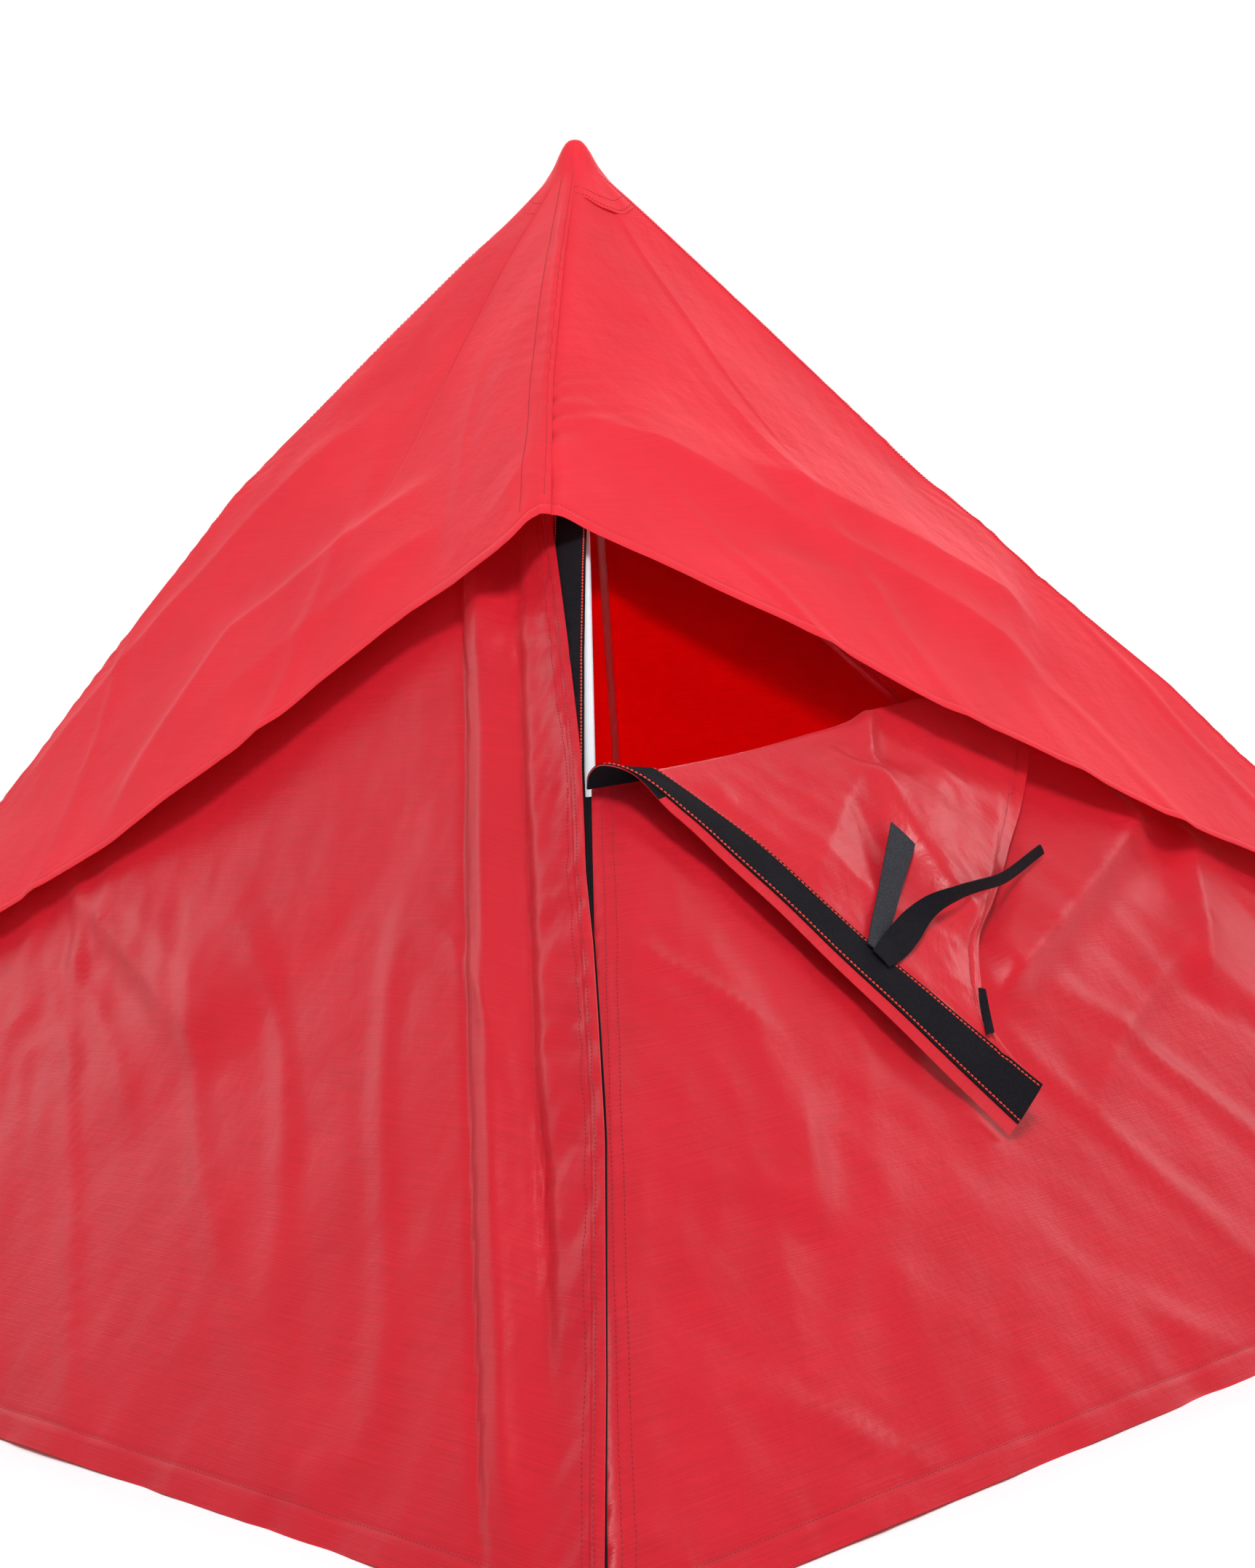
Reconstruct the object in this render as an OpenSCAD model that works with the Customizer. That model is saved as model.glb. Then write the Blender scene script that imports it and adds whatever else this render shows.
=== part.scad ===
// Ice fishing shelter: small square-pyramid umbrella tent, shown standing with the front window flap folded open.
// Frame: origin at the centre of the footprint on the ground, +Z up, front corner (the door seam) towards -Y,
// so the four corners of the base lie on the X and Y axes. Millimetres.
// Measures read off a shelter of this class: 160 cm sides, 115 cm high.

/* [Size] */
// Side of the square base
base_side = 1600; // [1200:10:2200]
// Height of the whole shelter
total_height = 1150; // [900:10:1700]
// Apex height of the inner walls' pyramid
wall_apex = 1120; // [850:10:1650]

/* [Fabric] */
// Thickness that stands in for one layer of cloth
cloth_t = 1.2; // [0.6:0.1:3]
// How far the outer canopy stands off the walls
fly_gap = 14; // [8:1:40]
// Height up the face, measured along the slope, where upper and lower wall panels meet
split_q = 600; // [300:10:900]
// Same height at the middle of the front right face, where the window's fold line is highest
fold_mid_q = 636; // [600:2:700]
// Canopy hem on the front and back corners, measured up the slope
hem_peak_q = 868; // [700:2:1000]
// Canopy hem at the middle of a face
hem_mid_q = 660; // [500:2:800]
// Canopy hem at the left and right corners
hem_tip_q = 265; // [100:5:500]

/* [Frame tubes] */
// Outer radius of the upper tubes
upper_r = 5.2; // [4:0.1:14]
// Bore radius of the upper tubes
upper_ri = 4.3; // [3:0.1:13]
// Outer radius of the sliding lower tubes
lower_r = 4; // [3:0.1:12]
// Bore radius of the sliding lower tubes
lower_ri = 2.9; // [2:0.1:11]
// Distance of the tube axis inside the corner line of the walls, measured level
rib_inset = 32; // [24:1:60]
// Distance of the fold pins from the centre
pivot_r = 45; // [40:1:70]
// Where the upper tube ends, measured along the rib from its pin
collar_u = 845; // [500:5:900]
// How far the lower tube reaches up inside the upper one
lower_top_u = 775; // [400:5:880]

/* [Fittings] */
// Radius of the fold pins
pin_r = 2.5; // [1.5:0.1:4]
// Running clearance of a pin in its tongue
pin_gap = 0.05; // [0.02:0.01:0.1]
// Bore radius of the corner eyelets
eyelet_r = 5.5; // [3:0.5:10]

/* [Window] */
// Width of the hook-and-loop tape
tape_w = 44; // [20:1:60]
// Width of the flap's tie straps
strap_w = 30; // [15:1:50]

/* [Hidden] */
$fn = 64;
R = base_side / sqrt(2);                    // half diagonal of the base
d0 = base_side / 2;                         // level distance from axis to a face at the ground
Ls = sqrt(d0 * d0 + wall_apex * wall_apex); // slope length of a face
co = d0 / Ls;
si = wall_apex / Ls;
phi = atan2(wall_apex, d0);
fly_o = fly_gap + cloth_t;                  // outer face of the canopy, off the wall's outer face
rib_a = atan2(R, wall_apex);                // rib angle from vertical
pivot_z = wall_apex * (1 - (pivot_r + rib_inset) / R);
foot_z = 5;
foot_u = (pivot_z - foot_z) / cos(rib_a);   // rib length from pin to foot
foot_rad = R * (1 - 3 / wall_apex) - rib_inset - 6;
wall_top_q = 1092 / si;
fly_top_q = (1120 - fly_o * co) / si;
q0 = cloth_t * co / si;
tab_z = 2;

// half width of a face at slope height q, on the plane o off the wall
function pc(q, o = 0) = d0 + o * si - q * co;

// a flat sheet on the face whose outward side looks along azimuth az; o is its outer plane, t its thickness
module sheet(az, pts, o = 0, t = cloth_t)
  rotate([0, 0, az]) translate([d0, 0, 0]) rotate([phi, 0, 90])
    translate([0, 0, o - t]) linear_extrude(height = t) polygon(pts);

module at(a) rotate([0, 0, a]) children();
// rib frame: origin at the pin, +Z down along the rib, for the corner on +X
module along() translate([pivot_r, 0, pivot_z]) rotate([0, 180 - rib_a, 0]) children();

// wall halves, s = +1 for the half on the face's p > 0 side
module wall_low(az, s, top_mid = split_q, edge = 0)
  sheet(az, [[s * 0.5, q0], [s * (pc(q0) - edge), q0], [s * (pc(split_q - 0.5) - edge), split_q - 0.5], [s * 0.5, top_mid - 0.5]]);
module wall_high(az, s, bot_mid = split_q, edge = 0)
  sheet(az, [[s * 0.5, bot_mid + 0.5], [s * (pc(split_q + 0.5) - edge), split_q + 0.5], [s * (pc(wall_top_q) - edge), wall_top_q], [s * 0.5, wall_top_q]]);
// canopy halves: peak side (front and back corners) and tip side (left and right corners)
module fly_peak(az, s)
  sheet(az, [[s * 0.5, hem_mid_q], [s * 60, hem_mid_q + 30], [s * pc(hem_peak_q, fly_o), hem_peak_q],
             [s * pc(fly_top_q, fly_o), fly_top_q], [s * 0.5, fly_top_q]], fly_o);
module fly_tip(az, s)
  sheet(az, [[s * 0.5, hem_mid_q], [s * pc(hem_tip_q, fly_o), hem_tip_q],
             [s * pc(fly_top_q, fly_o), fly_top_q], [s * 0.5, fly_top_q]], fly_o);

// ---------- crown ----------
module ear(s) {
  translate([28, s > 0 ? 5.5 : -9.5, pivot_z - 9]) cube([pivot_r - 28, 4, 18]);
  translate([pivot_r, s > 0 ? 9.5 : -5.5, pivot_z]) rotate([90, 0, 0]) cylinder(r = 9, h = 4);
}
module crown_hub() color([0.15, 0.15, 0.16]) difference() {
  union() {
    translate([0, 0, 1018]) cylinder(r = 32, h = 44);
    translate([0, 0, 1010]) cylinder(r = 22, h = 8);
    translate([0, 0, 1062]) cylinder(r = 16, h = 20);
    translate([0, 0, 1082]) cylinder(r = 8, h = 48);
    for (a = [0 : 90 : 270]) at(a) { ear(1); ear(-1); }
  }
  for (a = [0 : 90 : 270]) at(a)
    translate([pivot_r, 12, pivot_z]) rotate([90, 0, 0]) cylinder(r = pin_r, h = 24);
  translate([0, 0, 1005]) cylinder(r = 7, h = 12);
}
module hub_pins() color([0.75, 0.76, 0.78]) for (a = [0 : 90 : 270]) at(a) {
  translate([pivot_r, 10.5, pivot_z]) rotate([90, 0, 0]) cylinder(r = pin_r, h = 21);
  translate([pivot_r, 12, pivot_z]) rotate([90, 0, 0]) cylinder(r = 4.5, h = 2.5);
  translate([pivot_r, -9.5, pivot_z]) rotate([90, 0, 0]) cylinder(r = 4.5, h = 2.5);
}
module apex_patch() color([0.85, 0.2, 0.25]) rotate_extrude()
  polygon([[0, total_height], [54, 1098], [52, 1098], [10, 1138.4], [10, 1130], [0, 1130]]);

// ---------- one rib, built for the corner on +X ----------
module upper_tube() color([0.86, 0.87, 0.9]) along() translate([0, 0, 24]) difference() {
  cylinder(r = upper_r, h = collar_u - 24);
  translate([0, 0, -1]) cylinder(r = upper_ri, h = collar_u);
}
module plug() color([0.15, 0.15, 0.16]) along() difference() {
  union() {
    translate([0, 5.3, 0]) rotate([90, 0, 0]) cylinder(r = 8, h = 10.6);
    translate([-8, -5.3, 0]) cube([16, 10.6, 20]);
    translate([0, 0, 18]) cylinder(r = upper_r, h = 6);
    translate([0, 0, 24]) cylinder(r = upper_ri, h = 12);
  }
  translate([0, 8, 0]) rotate([90, 0, 0]) cylinder(r = pin_r + pin_gap, h = 16);
}
module collar() color([0.15, 0.15, 0.16]) along() difference() {
  union() {
    translate([0, 0, collar_u - 26]) cylinder(r = upper_r + 3.8, h = 38);
    translate([0, 0, collar_u - 34]) cylinder(r = upper_r + 2.2, h = 52);
  }
  translate([0, 0, collar_u - 36]) cylinder(r = upper_r, h = 36);
  translate([0, 0, collar_u - 2]) cylinder(r = lower_r + 0.05, h = 24);
}
module lower_tube() color([0.86, 0.87, 0.9]) along() translate([0, 0, lower_top_u]) difference() {
  cylinder(r = lower_r, h = foot_u - 12 - lower_top_u);
  translate([0, 0, -1]) cylinder(r = lower_ri, h = foot_u);
}
module foot() color([0.12, 0.12, 0.13]) difference() {
  union() {
    along() translate([0, 0, foot_u - 46]) cylinder(r = lower_r + 3.5, h = 50);
    translate([foot_rad, 0, 0]) cylinder(r = 16, h = 6);
  }
  along() translate([0, 0, foot_u - 48]) cylinder(r = lower_r, h = 36);
  translate([foot_rad - 60, -40, -60]) cube([140, 80, 60]);
}
module tab() color([0.1, 0.1, 0.11]) difference() {
  union() {
    translate([R + 1, -12.5, 0]) cube([44, 25, tab_z]);
    translate([R + 45, 0, 0]) cylinder(r = 12.5, h = tab_z);
  }
  translate([R + 43, 0, -1]) cylinder(r = eyelet_r + 1, h = 6);
}
module eyelet() color([0.78, 0.79, 0.8]) difference() {
  union() {
    translate([R + 43, 0, 0]) cylinder(r = eyelet_r + 1, h = tab_z + 1);
    translate([R + 43, 0, tab_z]) cylinder(r = eyelet_r + 4, h = 1);
  }
  translate([R + 43, 0, -1]) cylinder(r = eyelet_r, h = 8);
}

module upper_rib_front() at(270) upper_tube();
module rib_plug_front() at(270) plug();
module rib_collar_front() at(270) collar();
module lower_rib_front() at(270) lower_tube();
module foot_front() at(270) foot();
module corner_tab_front() at(270) tab();
module eyelet_front() at(270) eyelet();
module upper_rib_back() at(90) upper_tube();
module rib_plug_back() at(90) plug();
module rib_collar_back() at(90) collar();
module lower_rib_back() at(90) lower_tube();
module foot_back() at(90) foot();
module corner_tab_back() at(90) tab();
module eyelet_back() at(90) eyelet();
module upper_rib_left() at(180) upper_tube();
module rib_plug_left() at(180) plug();
module rib_collar_left() at(180) collar();
module lower_rib_left() at(180) lower_tube();
module foot_left() at(180) foot();
module corner_tab_left() at(180) tab();
module eyelet_left() at(180) eyelet();
module upper_rib_right() at(0) upper_tube();
module rib_plug_right() at(0) plug();
module rib_collar_right() at(0) collar();
module lower_rib_right() at(0) lower_tube();
module foot_right() at(0) foot();
module corner_tab_right() at(0) tab();
module eyelet_right() at(0) eyelet();

// ---------- cloth. Faces: 45 back right, 135 back left, 225 front left, 315 front right ----------
red = [0.85, 0.22, 0.27];
module wall_right_upper() color(red) { wall_high(315, 1, fold_mid_q); wall_high(45, -1); }
module wall_right_lower() color(red) { wall_low(315, 1, fold_mid_q); wall_low(45, -1); }
module wall_back_upper() color(red) { wall_high(45, 1); wall_high(135, -1); }
module wall_back_lower() color(red) { wall_low(45, 1); wall_low(135, -1); }
module wall_left_upper() color(red) { wall_high(135, 1); wall_high(225, -1); }
module wall_left_lower() color(red) { wall_low(135, 1); wall_low(225, -1); }
// left of the door seam: its free edge stands back from the corner where the window is open
module wall_front_left_upper() color(red)
  sheet(225, [[0.5, split_q + 0.5], [pc(split_q) - 4, split_q + 0.5], [pc(875) - 42, 875], [pc(1010) - 42, 1010],
              [pc(wall_top_q) - 3, wall_top_q], [0.5, wall_top_q]]);
module wall_front_left_lower() color(red) wall_low(225, 1, split_q, 3);
// right of the door seam: what is left of the wall above the window, under the canopy
module wall_front_right_upper() color(red)
  sheet(315, [[-0.5, fold_mid_q + 8], [-(pc(1003) - 4), 1003], [-(pc(wall_top_q) - 3), wall_top_q], [-0.5, wall_top_q]]);
module door_panel() color(red) wall_low(315, -1, fold_mid_q, 3);
module fly_front() color(red) { fly_peak(225, 1); fly_peak(315, -1); }
module fly_back() color(red) { fly_peak(45, 1); fly_peak(135, -1); }
module fly_left() color(red) { fly_tip(135, 1); fly_tip(225, -1); }
module fly_right() color(red) { fly_tip(315, 1); fly_tip(45, -1); }

// ---------- hook-and-loop tape on the door seam, on the inner side of the walls ----------
black = [0.08, 0.08, 0.09];
module strip_up(az, s, qa, qb) sheet(az, [[s * (pc(qa) - 7 - tape_w), qa], [s * (pc(qa) - 7), qa], [s * (pc(qb) - 7), qb], [s * (pc(qb) - 7 - tape_w), qb]], -cloth_t - 0.1, 1.6);
module door_tape_left_upper() color(black) strip_up(225, 1, split_q + 1, 1000);
module door_tape_left_lower() color(black) strip_up(225, 1, 30, split_q - 1);
module door_tape_right() color(black) strip_up(315, -1, 30, split_q - 1);

// ---------- the window flap, hanging folded outwards over the door panel ----------
flap_o = 4 + cloth_t;
module window_flap() color(red)
  sheet(315, [[-445, split_q - 3], [-1, fold_mid_q - 1], [60, 585], [-80, 442], [-127, 409], [-172, 340], [-160, 268], [-213, 240], [-332, 440]], flap_o);
// along the flap's edge that closes against the seam
module flap_tape() color(black)
  sheet(315, [[-428, split_q - 16], [-392, split_q - 9], [-165, 272], [-206, 246]], flap_o + 1.7, 1.6);
module flap_strap_grey() color([0.3, 0.3, 0.33])
  sheet(315, [[-266, 440], [-248, 424], [-141, 500], [-160, 524]], flap_o + 1.5, 1.4);
module flap_strap_black() color(black)
  sheet(315, [[-260, 412], [-242, 393], [-140, 440], [26, 478], [22, 494], [-150, 462]], flap_o + 1.5, 1.4);
module flap_tie() color(black)
  sheet(315, [[-178, 362], [-166, 362], [-178, 320], [-190, 320]], flap_o + 1.5, 1.4);

crown_hub();
hub_pins();
apex_patch();
upper_rib_front();
rib_plug_front();
rib_collar_front();
lower_rib_front();
foot_front();
corner_tab_front();
eyelet_front();
upper_rib_back();
rib_plug_back();
rib_collar_back();
lower_rib_back();
foot_back();
corner_tab_back();
eyelet_back();
upper_rib_left();
rib_plug_left();
rib_collar_left();
lower_rib_left();
foot_left();
corner_tab_left();
eyelet_left();
upper_rib_right();
rib_plug_right();
rib_collar_right();
lower_rib_right();
foot_right();
corner_tab_right();
eyelet_right();
wall_right_upper();
wall_right_lower();
wall_back_upper();
wall_back_lower();
wall_left_upper();
wall_left_lower();
wall_front_left_upper();
wall_front_left_lower();
wall_front_right_upper();
door_panel();
fly_front();
fly_back();
fly_left();
fly_right();
door_tape_left_upper();
door_tape_left_lower();
door_tape_right();
window_flap();
flap_tape();
flap_strap_grey();
flap_strap_black();
flap_tie();
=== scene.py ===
"""Ice fishing shelter: the looks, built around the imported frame. Lengths in the helpers are millimetres and become metres when a mesh is made."""
import bpy
import math
import numpy as np
from mathutils import Matrix, Vector


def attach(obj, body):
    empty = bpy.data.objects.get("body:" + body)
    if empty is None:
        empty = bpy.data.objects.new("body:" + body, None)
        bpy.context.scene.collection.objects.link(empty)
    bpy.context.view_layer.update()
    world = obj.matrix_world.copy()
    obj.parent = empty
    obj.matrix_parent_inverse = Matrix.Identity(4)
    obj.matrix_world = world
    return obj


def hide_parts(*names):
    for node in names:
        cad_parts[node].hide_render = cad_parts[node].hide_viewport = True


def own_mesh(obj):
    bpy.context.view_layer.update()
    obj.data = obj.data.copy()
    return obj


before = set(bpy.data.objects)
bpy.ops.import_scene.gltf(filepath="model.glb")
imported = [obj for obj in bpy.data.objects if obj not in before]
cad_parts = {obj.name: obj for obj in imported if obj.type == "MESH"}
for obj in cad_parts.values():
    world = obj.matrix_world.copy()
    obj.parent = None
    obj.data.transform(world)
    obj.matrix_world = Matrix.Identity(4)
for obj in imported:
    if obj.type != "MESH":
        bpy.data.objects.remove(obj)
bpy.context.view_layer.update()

# ------------------------------------------------------------------ the pyramid
D0, HW = 800.0, 1120.0
RB = D0 * math.sqrt(2)
LS = math.hypot(D0, HW)
CO, SI = D0 / LS, HW / LS
SPLIT, FOLD_MID = 600.0, 636.0
RIB = math.atan2(RB, HW)
CORNER_AZ = {"front": 270, "back": 90, "left": 180, "right": 0}
# face azimuth: (corner on its p<0 side, corner on its p>0 side)
FACES = {45: ("right", "back"), 135: ("back", "left"), 225: ("left", "front"), 315: ("front", "right")}


def axes(az):
    a = math.radians(az)
    return (np.array([math.cos(a) * SI, math.sin(a) * SI, CO]), np.array([-math.sin(a), math.cos(a), 0.0]),
            np.array([-math.cos(a) * CO, -math.sin(a) * CO, SI]), np.array([D0 * math.cos(a), D0 * math.sin(a), 0.0]))


def put(az, p, q, o):
    n, h, g, m = axes(az)
    p, q, o = np.broadcast_arrays(np.asarray(p, float), np.asarray(q, float), np.asarray(o, float))
    return m + n * o[..., None] + h * p[..., None] + g * q[..., None]


def pqo(az, v):
    n, h, g, m = axes(az)
    r = v - m
    return r @ h, r @ g, r @ n


def half(q, o=0.0):
    return D0 + o * SI - q * CO


# ------------------------------------------------------------------ small maths
def sstep(a, b, x):
    t = np.clip((np.asarray(x, float) - a) / (b - a), 0, 1)
    return t * t * (3 - 2 * t)


def perlin(x, y, seed):
    r = np.random.default_rng(seed)
    perm = np.concatenate([r.permutation(256)] * 2)
    ang = r.random(256) * 2 * np.pi
    gx, gy = np.cos(ang), np.sin(ang)
    xi, yi = np.floor(x).astype(int), np.floor(y).astype(int)
    xf, yf = x - xi, y - yi
    u, v = xf ** 3 * (xf * (xf * 6 - 15) + 10), yf ** 3 * (yf * (yf * 6 - 15) + 10)

    def dot(i, j):
        k = perm[perm[(xi + i) & 255] + ((yi + j) & 255)]
        return gx[k] * (xf - i) + gy[k] * (yf - j)

    return ((dot(0, 0) * (1 - u) + dot(1, 0) * u) * (1 - v) + (dot(0, 1) * (1 - u) + dot(1, 1) * u) * v) * 1.5


def fbm(x, y, seed, octaves=3):
    return sum(perlin(x * 2 ** k, y * 2 ** k, seed + 17 * k) / 2 ** k for k in range(octaves))


def ridged(x, y, seed):
    """Sharp-crested wrinkles, 0 to 1."""
    return 1 - np.abs(np.clip(perlin(x, y, seed), -1, 1)) * 1.9


def along(P, Q, pts):
    """Nearest point of a polyline: (signed distance, + on its left, and the share of its length)."""
    pts = np.asarray(pts, float)
    seg = np.linalg.norm(np.diff(pts, axis=0), axis=1)
    cum = np.concatenate([[0], np.cumsum(seg)])
    best, sign, share = np.full(P.shape, 1e9), np.ones(P.shape), np.zeros(P.shape)
    for i in range(len(seg)):
        d = (pts[i + 1] - pts[i]) / seg[i]
        rx, ry = P - pts[i, 0], Q - pts[i, 1]
        t = np.clip(rx * d[0] + ry * d[1], 0, seg[i])
        ex, ey = rx - t * d[0], ry - t * d[1]
        dist = np.hypot(ex, ey)
        near = dist < best
        best = np.where(near, dist, best)
        sign = np.where(near, np.where(d[0] * ry - d[1] * rx >= 0, 1.0, -1.0), sign)
        share = np.where(near, (cum[i] + t) / cum[-1], share)
    return best * sign, share


def crease(P, Q, pts, amp, left, right, end=0.22):
    """A fold along a polyline: highest on the line, falling off over left and right millimetres at its two sides."""
    d, s = along(P, Q, pts)
    w = np.where(d >= 0, left, right)
    x = (np.sqrt(d * d + 12.0) - 3.46) / w
    taper = sstep(0, end, s) * sstep(0, end, 1 - s)
    return amp * np.exp(-np.minimum(x, 30)) * (1 + 0.5 * x) * taper


# ------------------------------------------------------------------ meshes
def unit(v):
    return v / np.maximum(np.linalg.norm(v, axis=-1, keepdims=True), 1e-9)


def grid_normals(G, outward=None):
    du, dv = np.gradient(G, axis=1), np.gradient(G, axis=0)
    n = unit(np.cross(du, dv))
    if outward is not None and (n * outward).sum() < 0:
        n = -n
    return n


class Builder:
    """Collects quads with UVs, normals and material numbers for one mesh."""

    def __init__(self):
        self.v, self.f, self.uv, self.n, self.m = [], [], [], [], []
        self.count = 0

    def add(self, V, F, UV, N, mat=0):
        """V (n,3), F (m,4), UV and N per corner (m,4,2) and (m,4,3)."""
        self.v.append(V); self.f.append(F + self.count); self.uv.append(UV); self.n.append(N)
        self.m.append(np.full(len(F), mat, np.int32)); self.count += len(V)

    def shell(self, G, t, uv, N=None, mat=0, out=None, ring=False):
        """A closed thin sheet whose outer face is the grid G (rows, columns, 3). A ring's last column is its first."""
        if N is None:
            N = grid_normals(G, out)
        r, c = G.shape[:2]
        idx = np.arange(r * c).reshape(r, c)
        if ring:
            idx[:, -1] = idx[:, 0]
        cell = np.arange(r * c).reshape(r, c)
        q = np.stack([idx[:-1, :-1], idx[:-1, 1:], idx[1:, 1:], idx[1:, :-1]], -1).reshape(-1, 4)
        k = np.stack([cell[:-1, :-1], cell[:-1, 1:], cell[1:, 1:], cell[1:, :-1]], -1).reshape(-1, 4)
        a = G.reshape(-1, 3); b = (G - N * t).reshape(-1, 3); n = N.reshape(-1, 3); w = uv.reshape(-1, 2)
        e1, e2 = a[q[:, 1]] - a[q[:, 0]], a[q[:, 3]] - a[q[:, 0]]
        if (np.cross(e1, e2) * n[q[:, 0]]).sum() < 0:
            q = q[:, ::-1]; k = k[:, ::-1]
        V = np.concatenate([a, b]); m = len(a)
        if ring:
            ends = [np.stack([idx[0, :-1], idx[0, 1:]], -1), np.stack([idx[-1, :-1], idx[-1, 1:]], -1)]
        else:
            ends = [np.stack([idx[0, :-1], idx[0, 1:]], -1), np.stack([idx[-1, :-1], idx[-1, 1:]], -1),
                    np.stack([idx[:-1, 0], idx[1:, 0]], -1), np.stack([idx[:-1, -1], idx[1:, -1]], -1)]
        edge = np.concatenate(ends)
        span = r * c
        have = np.unique(np.concatenate([q[:, i].astype(np.int64) * span + q[:, (i + 1) % 4] for i in range(4)]))
        turn = np.isin(edge[:, 0].astype(np.int64) * span + edge[:, 1], have)
        edge = np.where(turn[:, None], edge[:, ::-1], edge)
        rim = np.stack([edge[:, 0], edge[:, 1], edge[:, 1] + m, edge[:, 0] + m], -1)
        fn = unit(np.cross(V[rim[:, 1]] - V[rim[:, 0]], V[rim[:, 3]] - V[rim[:, 0]]))
        ww = np.concatenate([w, w])
        F = np.concatenate([q, q[:, ::-1] + m, rim])
        UV = np.concatenate([w[k], w[k[:, ::-1]], ww[rim]])
        NN = np.concatenate([n[k], -n[k[:, ::-1]], np.repeat(fn[:, None], 4, 1)])
        if ring:                                            # drop the unused last column
            keep = np.ones(2 * m, bool); keep[cell[:, -1]] = False; keep[cell[:, -1] + m] = False
            new = np.cumsum(keep) - 1
            V = V[keep]; F = new[F]
        self.add(V, F, UV, NN, mat)

    def stitches(self, L, N, pitch=3.4, length=2.5, width=0.75, height=0.45, mat=1, skip=0.0):
        """Thread dashes lying along the line L (n,3) on a surface with normals N."""
        seg = np.linalg.norm(np.diff(L, axis=0), axis=1)
        cum = np.concatenate([[0], np.cumsum(seg)])
        at = np.arange(pitch * 0.5, cum[-1] - length, pitch)
        if len(at) < 1:
            return
        lerp = lambda s, A: np.stack([np.interp(s, cum, A[:, k]) for k in range(3)], -1)
        A, B = lerp(at, L), lerp(at + length, L)
        n = unit(lerp(at + length / 2, N))
        d = unit(B - A); s = unit(np.cross(n, d))
        C = (A + B) / 2
        rings = []
        for pos, wd, up in ((A, 0.25, -0.1), (A * 0.72 + B * 0.28, 0.5, 1.0), (A * 0.28 + B * 0.72, 0.5, 1.0), (B, 0.25, -0.1)):
            top = pos + n * height * up
            low = pos - n * 0.15
            rings.append(np.stack([low - s * width * wd, top - s * width * wd * 0.6, top + s * width * wd * 0.6, low + s * width * wd], 1))
        V = np.stack(rings, 1)  # (k, 4 rings, 4, 3)
        k = len(at)
        base = (np.arange(k) * 16)[:, None]
        F = []
        for r in range(3):
            for j in range(4):
                F.append(np.stack([r * 4 + j, r * 4 + (j + 1) % 4, (r + 1) * 4 + (j + 1) % 4, (r + 1) * 4 + j]))
        F.append(np.array([3, 2, 1, 0])); F.append(np.array([12, 13, 14, 15]))
        F = (np.array(F)[None] + base[:, :, None]).reshape(-1, 4)
        V = V.reshape(-1, 3)
        cen = np.repeat(C, 16, 0)
        fn = unit(np.cross(V[F[:, 2]] - V[F[:, 0]], V[F[:, 3]] - V[F[:, 1]]))
        away = V[F].mean(1) - cen[F[:, 0]]
        flip = (fn * away).sum(1) < 0
        F[flip] = F[flip][:, ::-1]; fn[flip] *= -1
        uv = np.zeros((len(F), 4, 2)); uv[:, :, 0] = V[F][:, :, 0] / 1000; uv[:, :, 1] = V[F][:, :, 2] / 1000
        self.add(V, F, uv, np.repeat(fn[:, None], 4, 1), mat)

    def ribbon(self, L, W, N, t, mat=0, cols=5, crown=0.0):
        """A strap along the line L: W is its half width vector at each point, N its normal."""
        c = np.linspace(-1, 1, cols)
        G = L[:, None] + W[:, None] * c[None, :, None] + N[:, None] * (crown * (1 - c ** 2))[None, :, None]
        run = np.concatenate([[0], np.cumsum(np.linalg.norm(np.diff(L, axis=0), axis=1))])
        hw = np.linalg.norm(W, axis=1)
        uv = np.stack([np.broadcast_to(c[None] * hw[:, None], G.shape[:2]), np.broadcast_to(run[:, None], G.shape[:2])], -1) / 1000
        self.shell(G, t, uv, N=unit(np.broadcast_to(N[:, None], G.shape).copy()), mat=mat)
        return G

    def done(self, name, mats):
        V, F = np.concatenate(self.v) / 1000, np.concatenate(self.f)
        UV, N, M = np.concatenate(self.uv), np.concatenate(self.n), np.concatenate(self.m)
        mesh = bpy.data.meshes.new(name)
        mesh.from_pydata(V.tolist(), [], F.tolist())
        uvl = mesh.uv_layers.new(name="UVMap")
        uvl.data.foreach_set("uv", UV.astype(np.float32).ravel())
        mesh.polygons.foreach_set("material_index", M)
        mesh.polygons.foreach_set("use_smooth", np.ones(len(F), bool))
        for m in mats:
            mesh.materials.append(m)
        mesh.update()
        mesh.normals_split_custom_set(unit(N).reshape(-1, 3).tolist())
        ob = bpy.data.objects.new(name, mesh)
        bpy.context.scene.collection.objects.link(ob)
        return ob


# ------------------------------------------------------------------ materials
def new_mat(name):
    m = bpy.data.materials.new(name)
    m.use_nodes = True
    nt = m.node_tree
    nt.nodes.clear()
    return m, nt, nt.nodes, nt.links


def mapped(nt, scale, kind="UV", rot=(0, 0, 0)):
    tc = nt.nodes.new("ShaderNodeTexCoord")
    mp = nt.nodes.new("ShaderNodeMapping")
    mp.inputs["Scale"].default_value = scale
    mp.inputs["Rotation"].default_value = rot
    nt.links.new(tc.outputs[kind], mp.inputs["Vector"])
    return mp.outputs["Vector"]


def noise(nt, vec, scale, detail=2.0, rough=0.5):
    n = nt.nodes.new("ShaderNodeTexNoise")
    n.inputs["Scale"].default_value = scale
    n.inputs["Detail"].default_value = detail
    n.inputs["Roughness"].default_value = rough
    nt.links.new(vec, n.inputs["Vector"])
    return n.outputs["Fac"]


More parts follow.
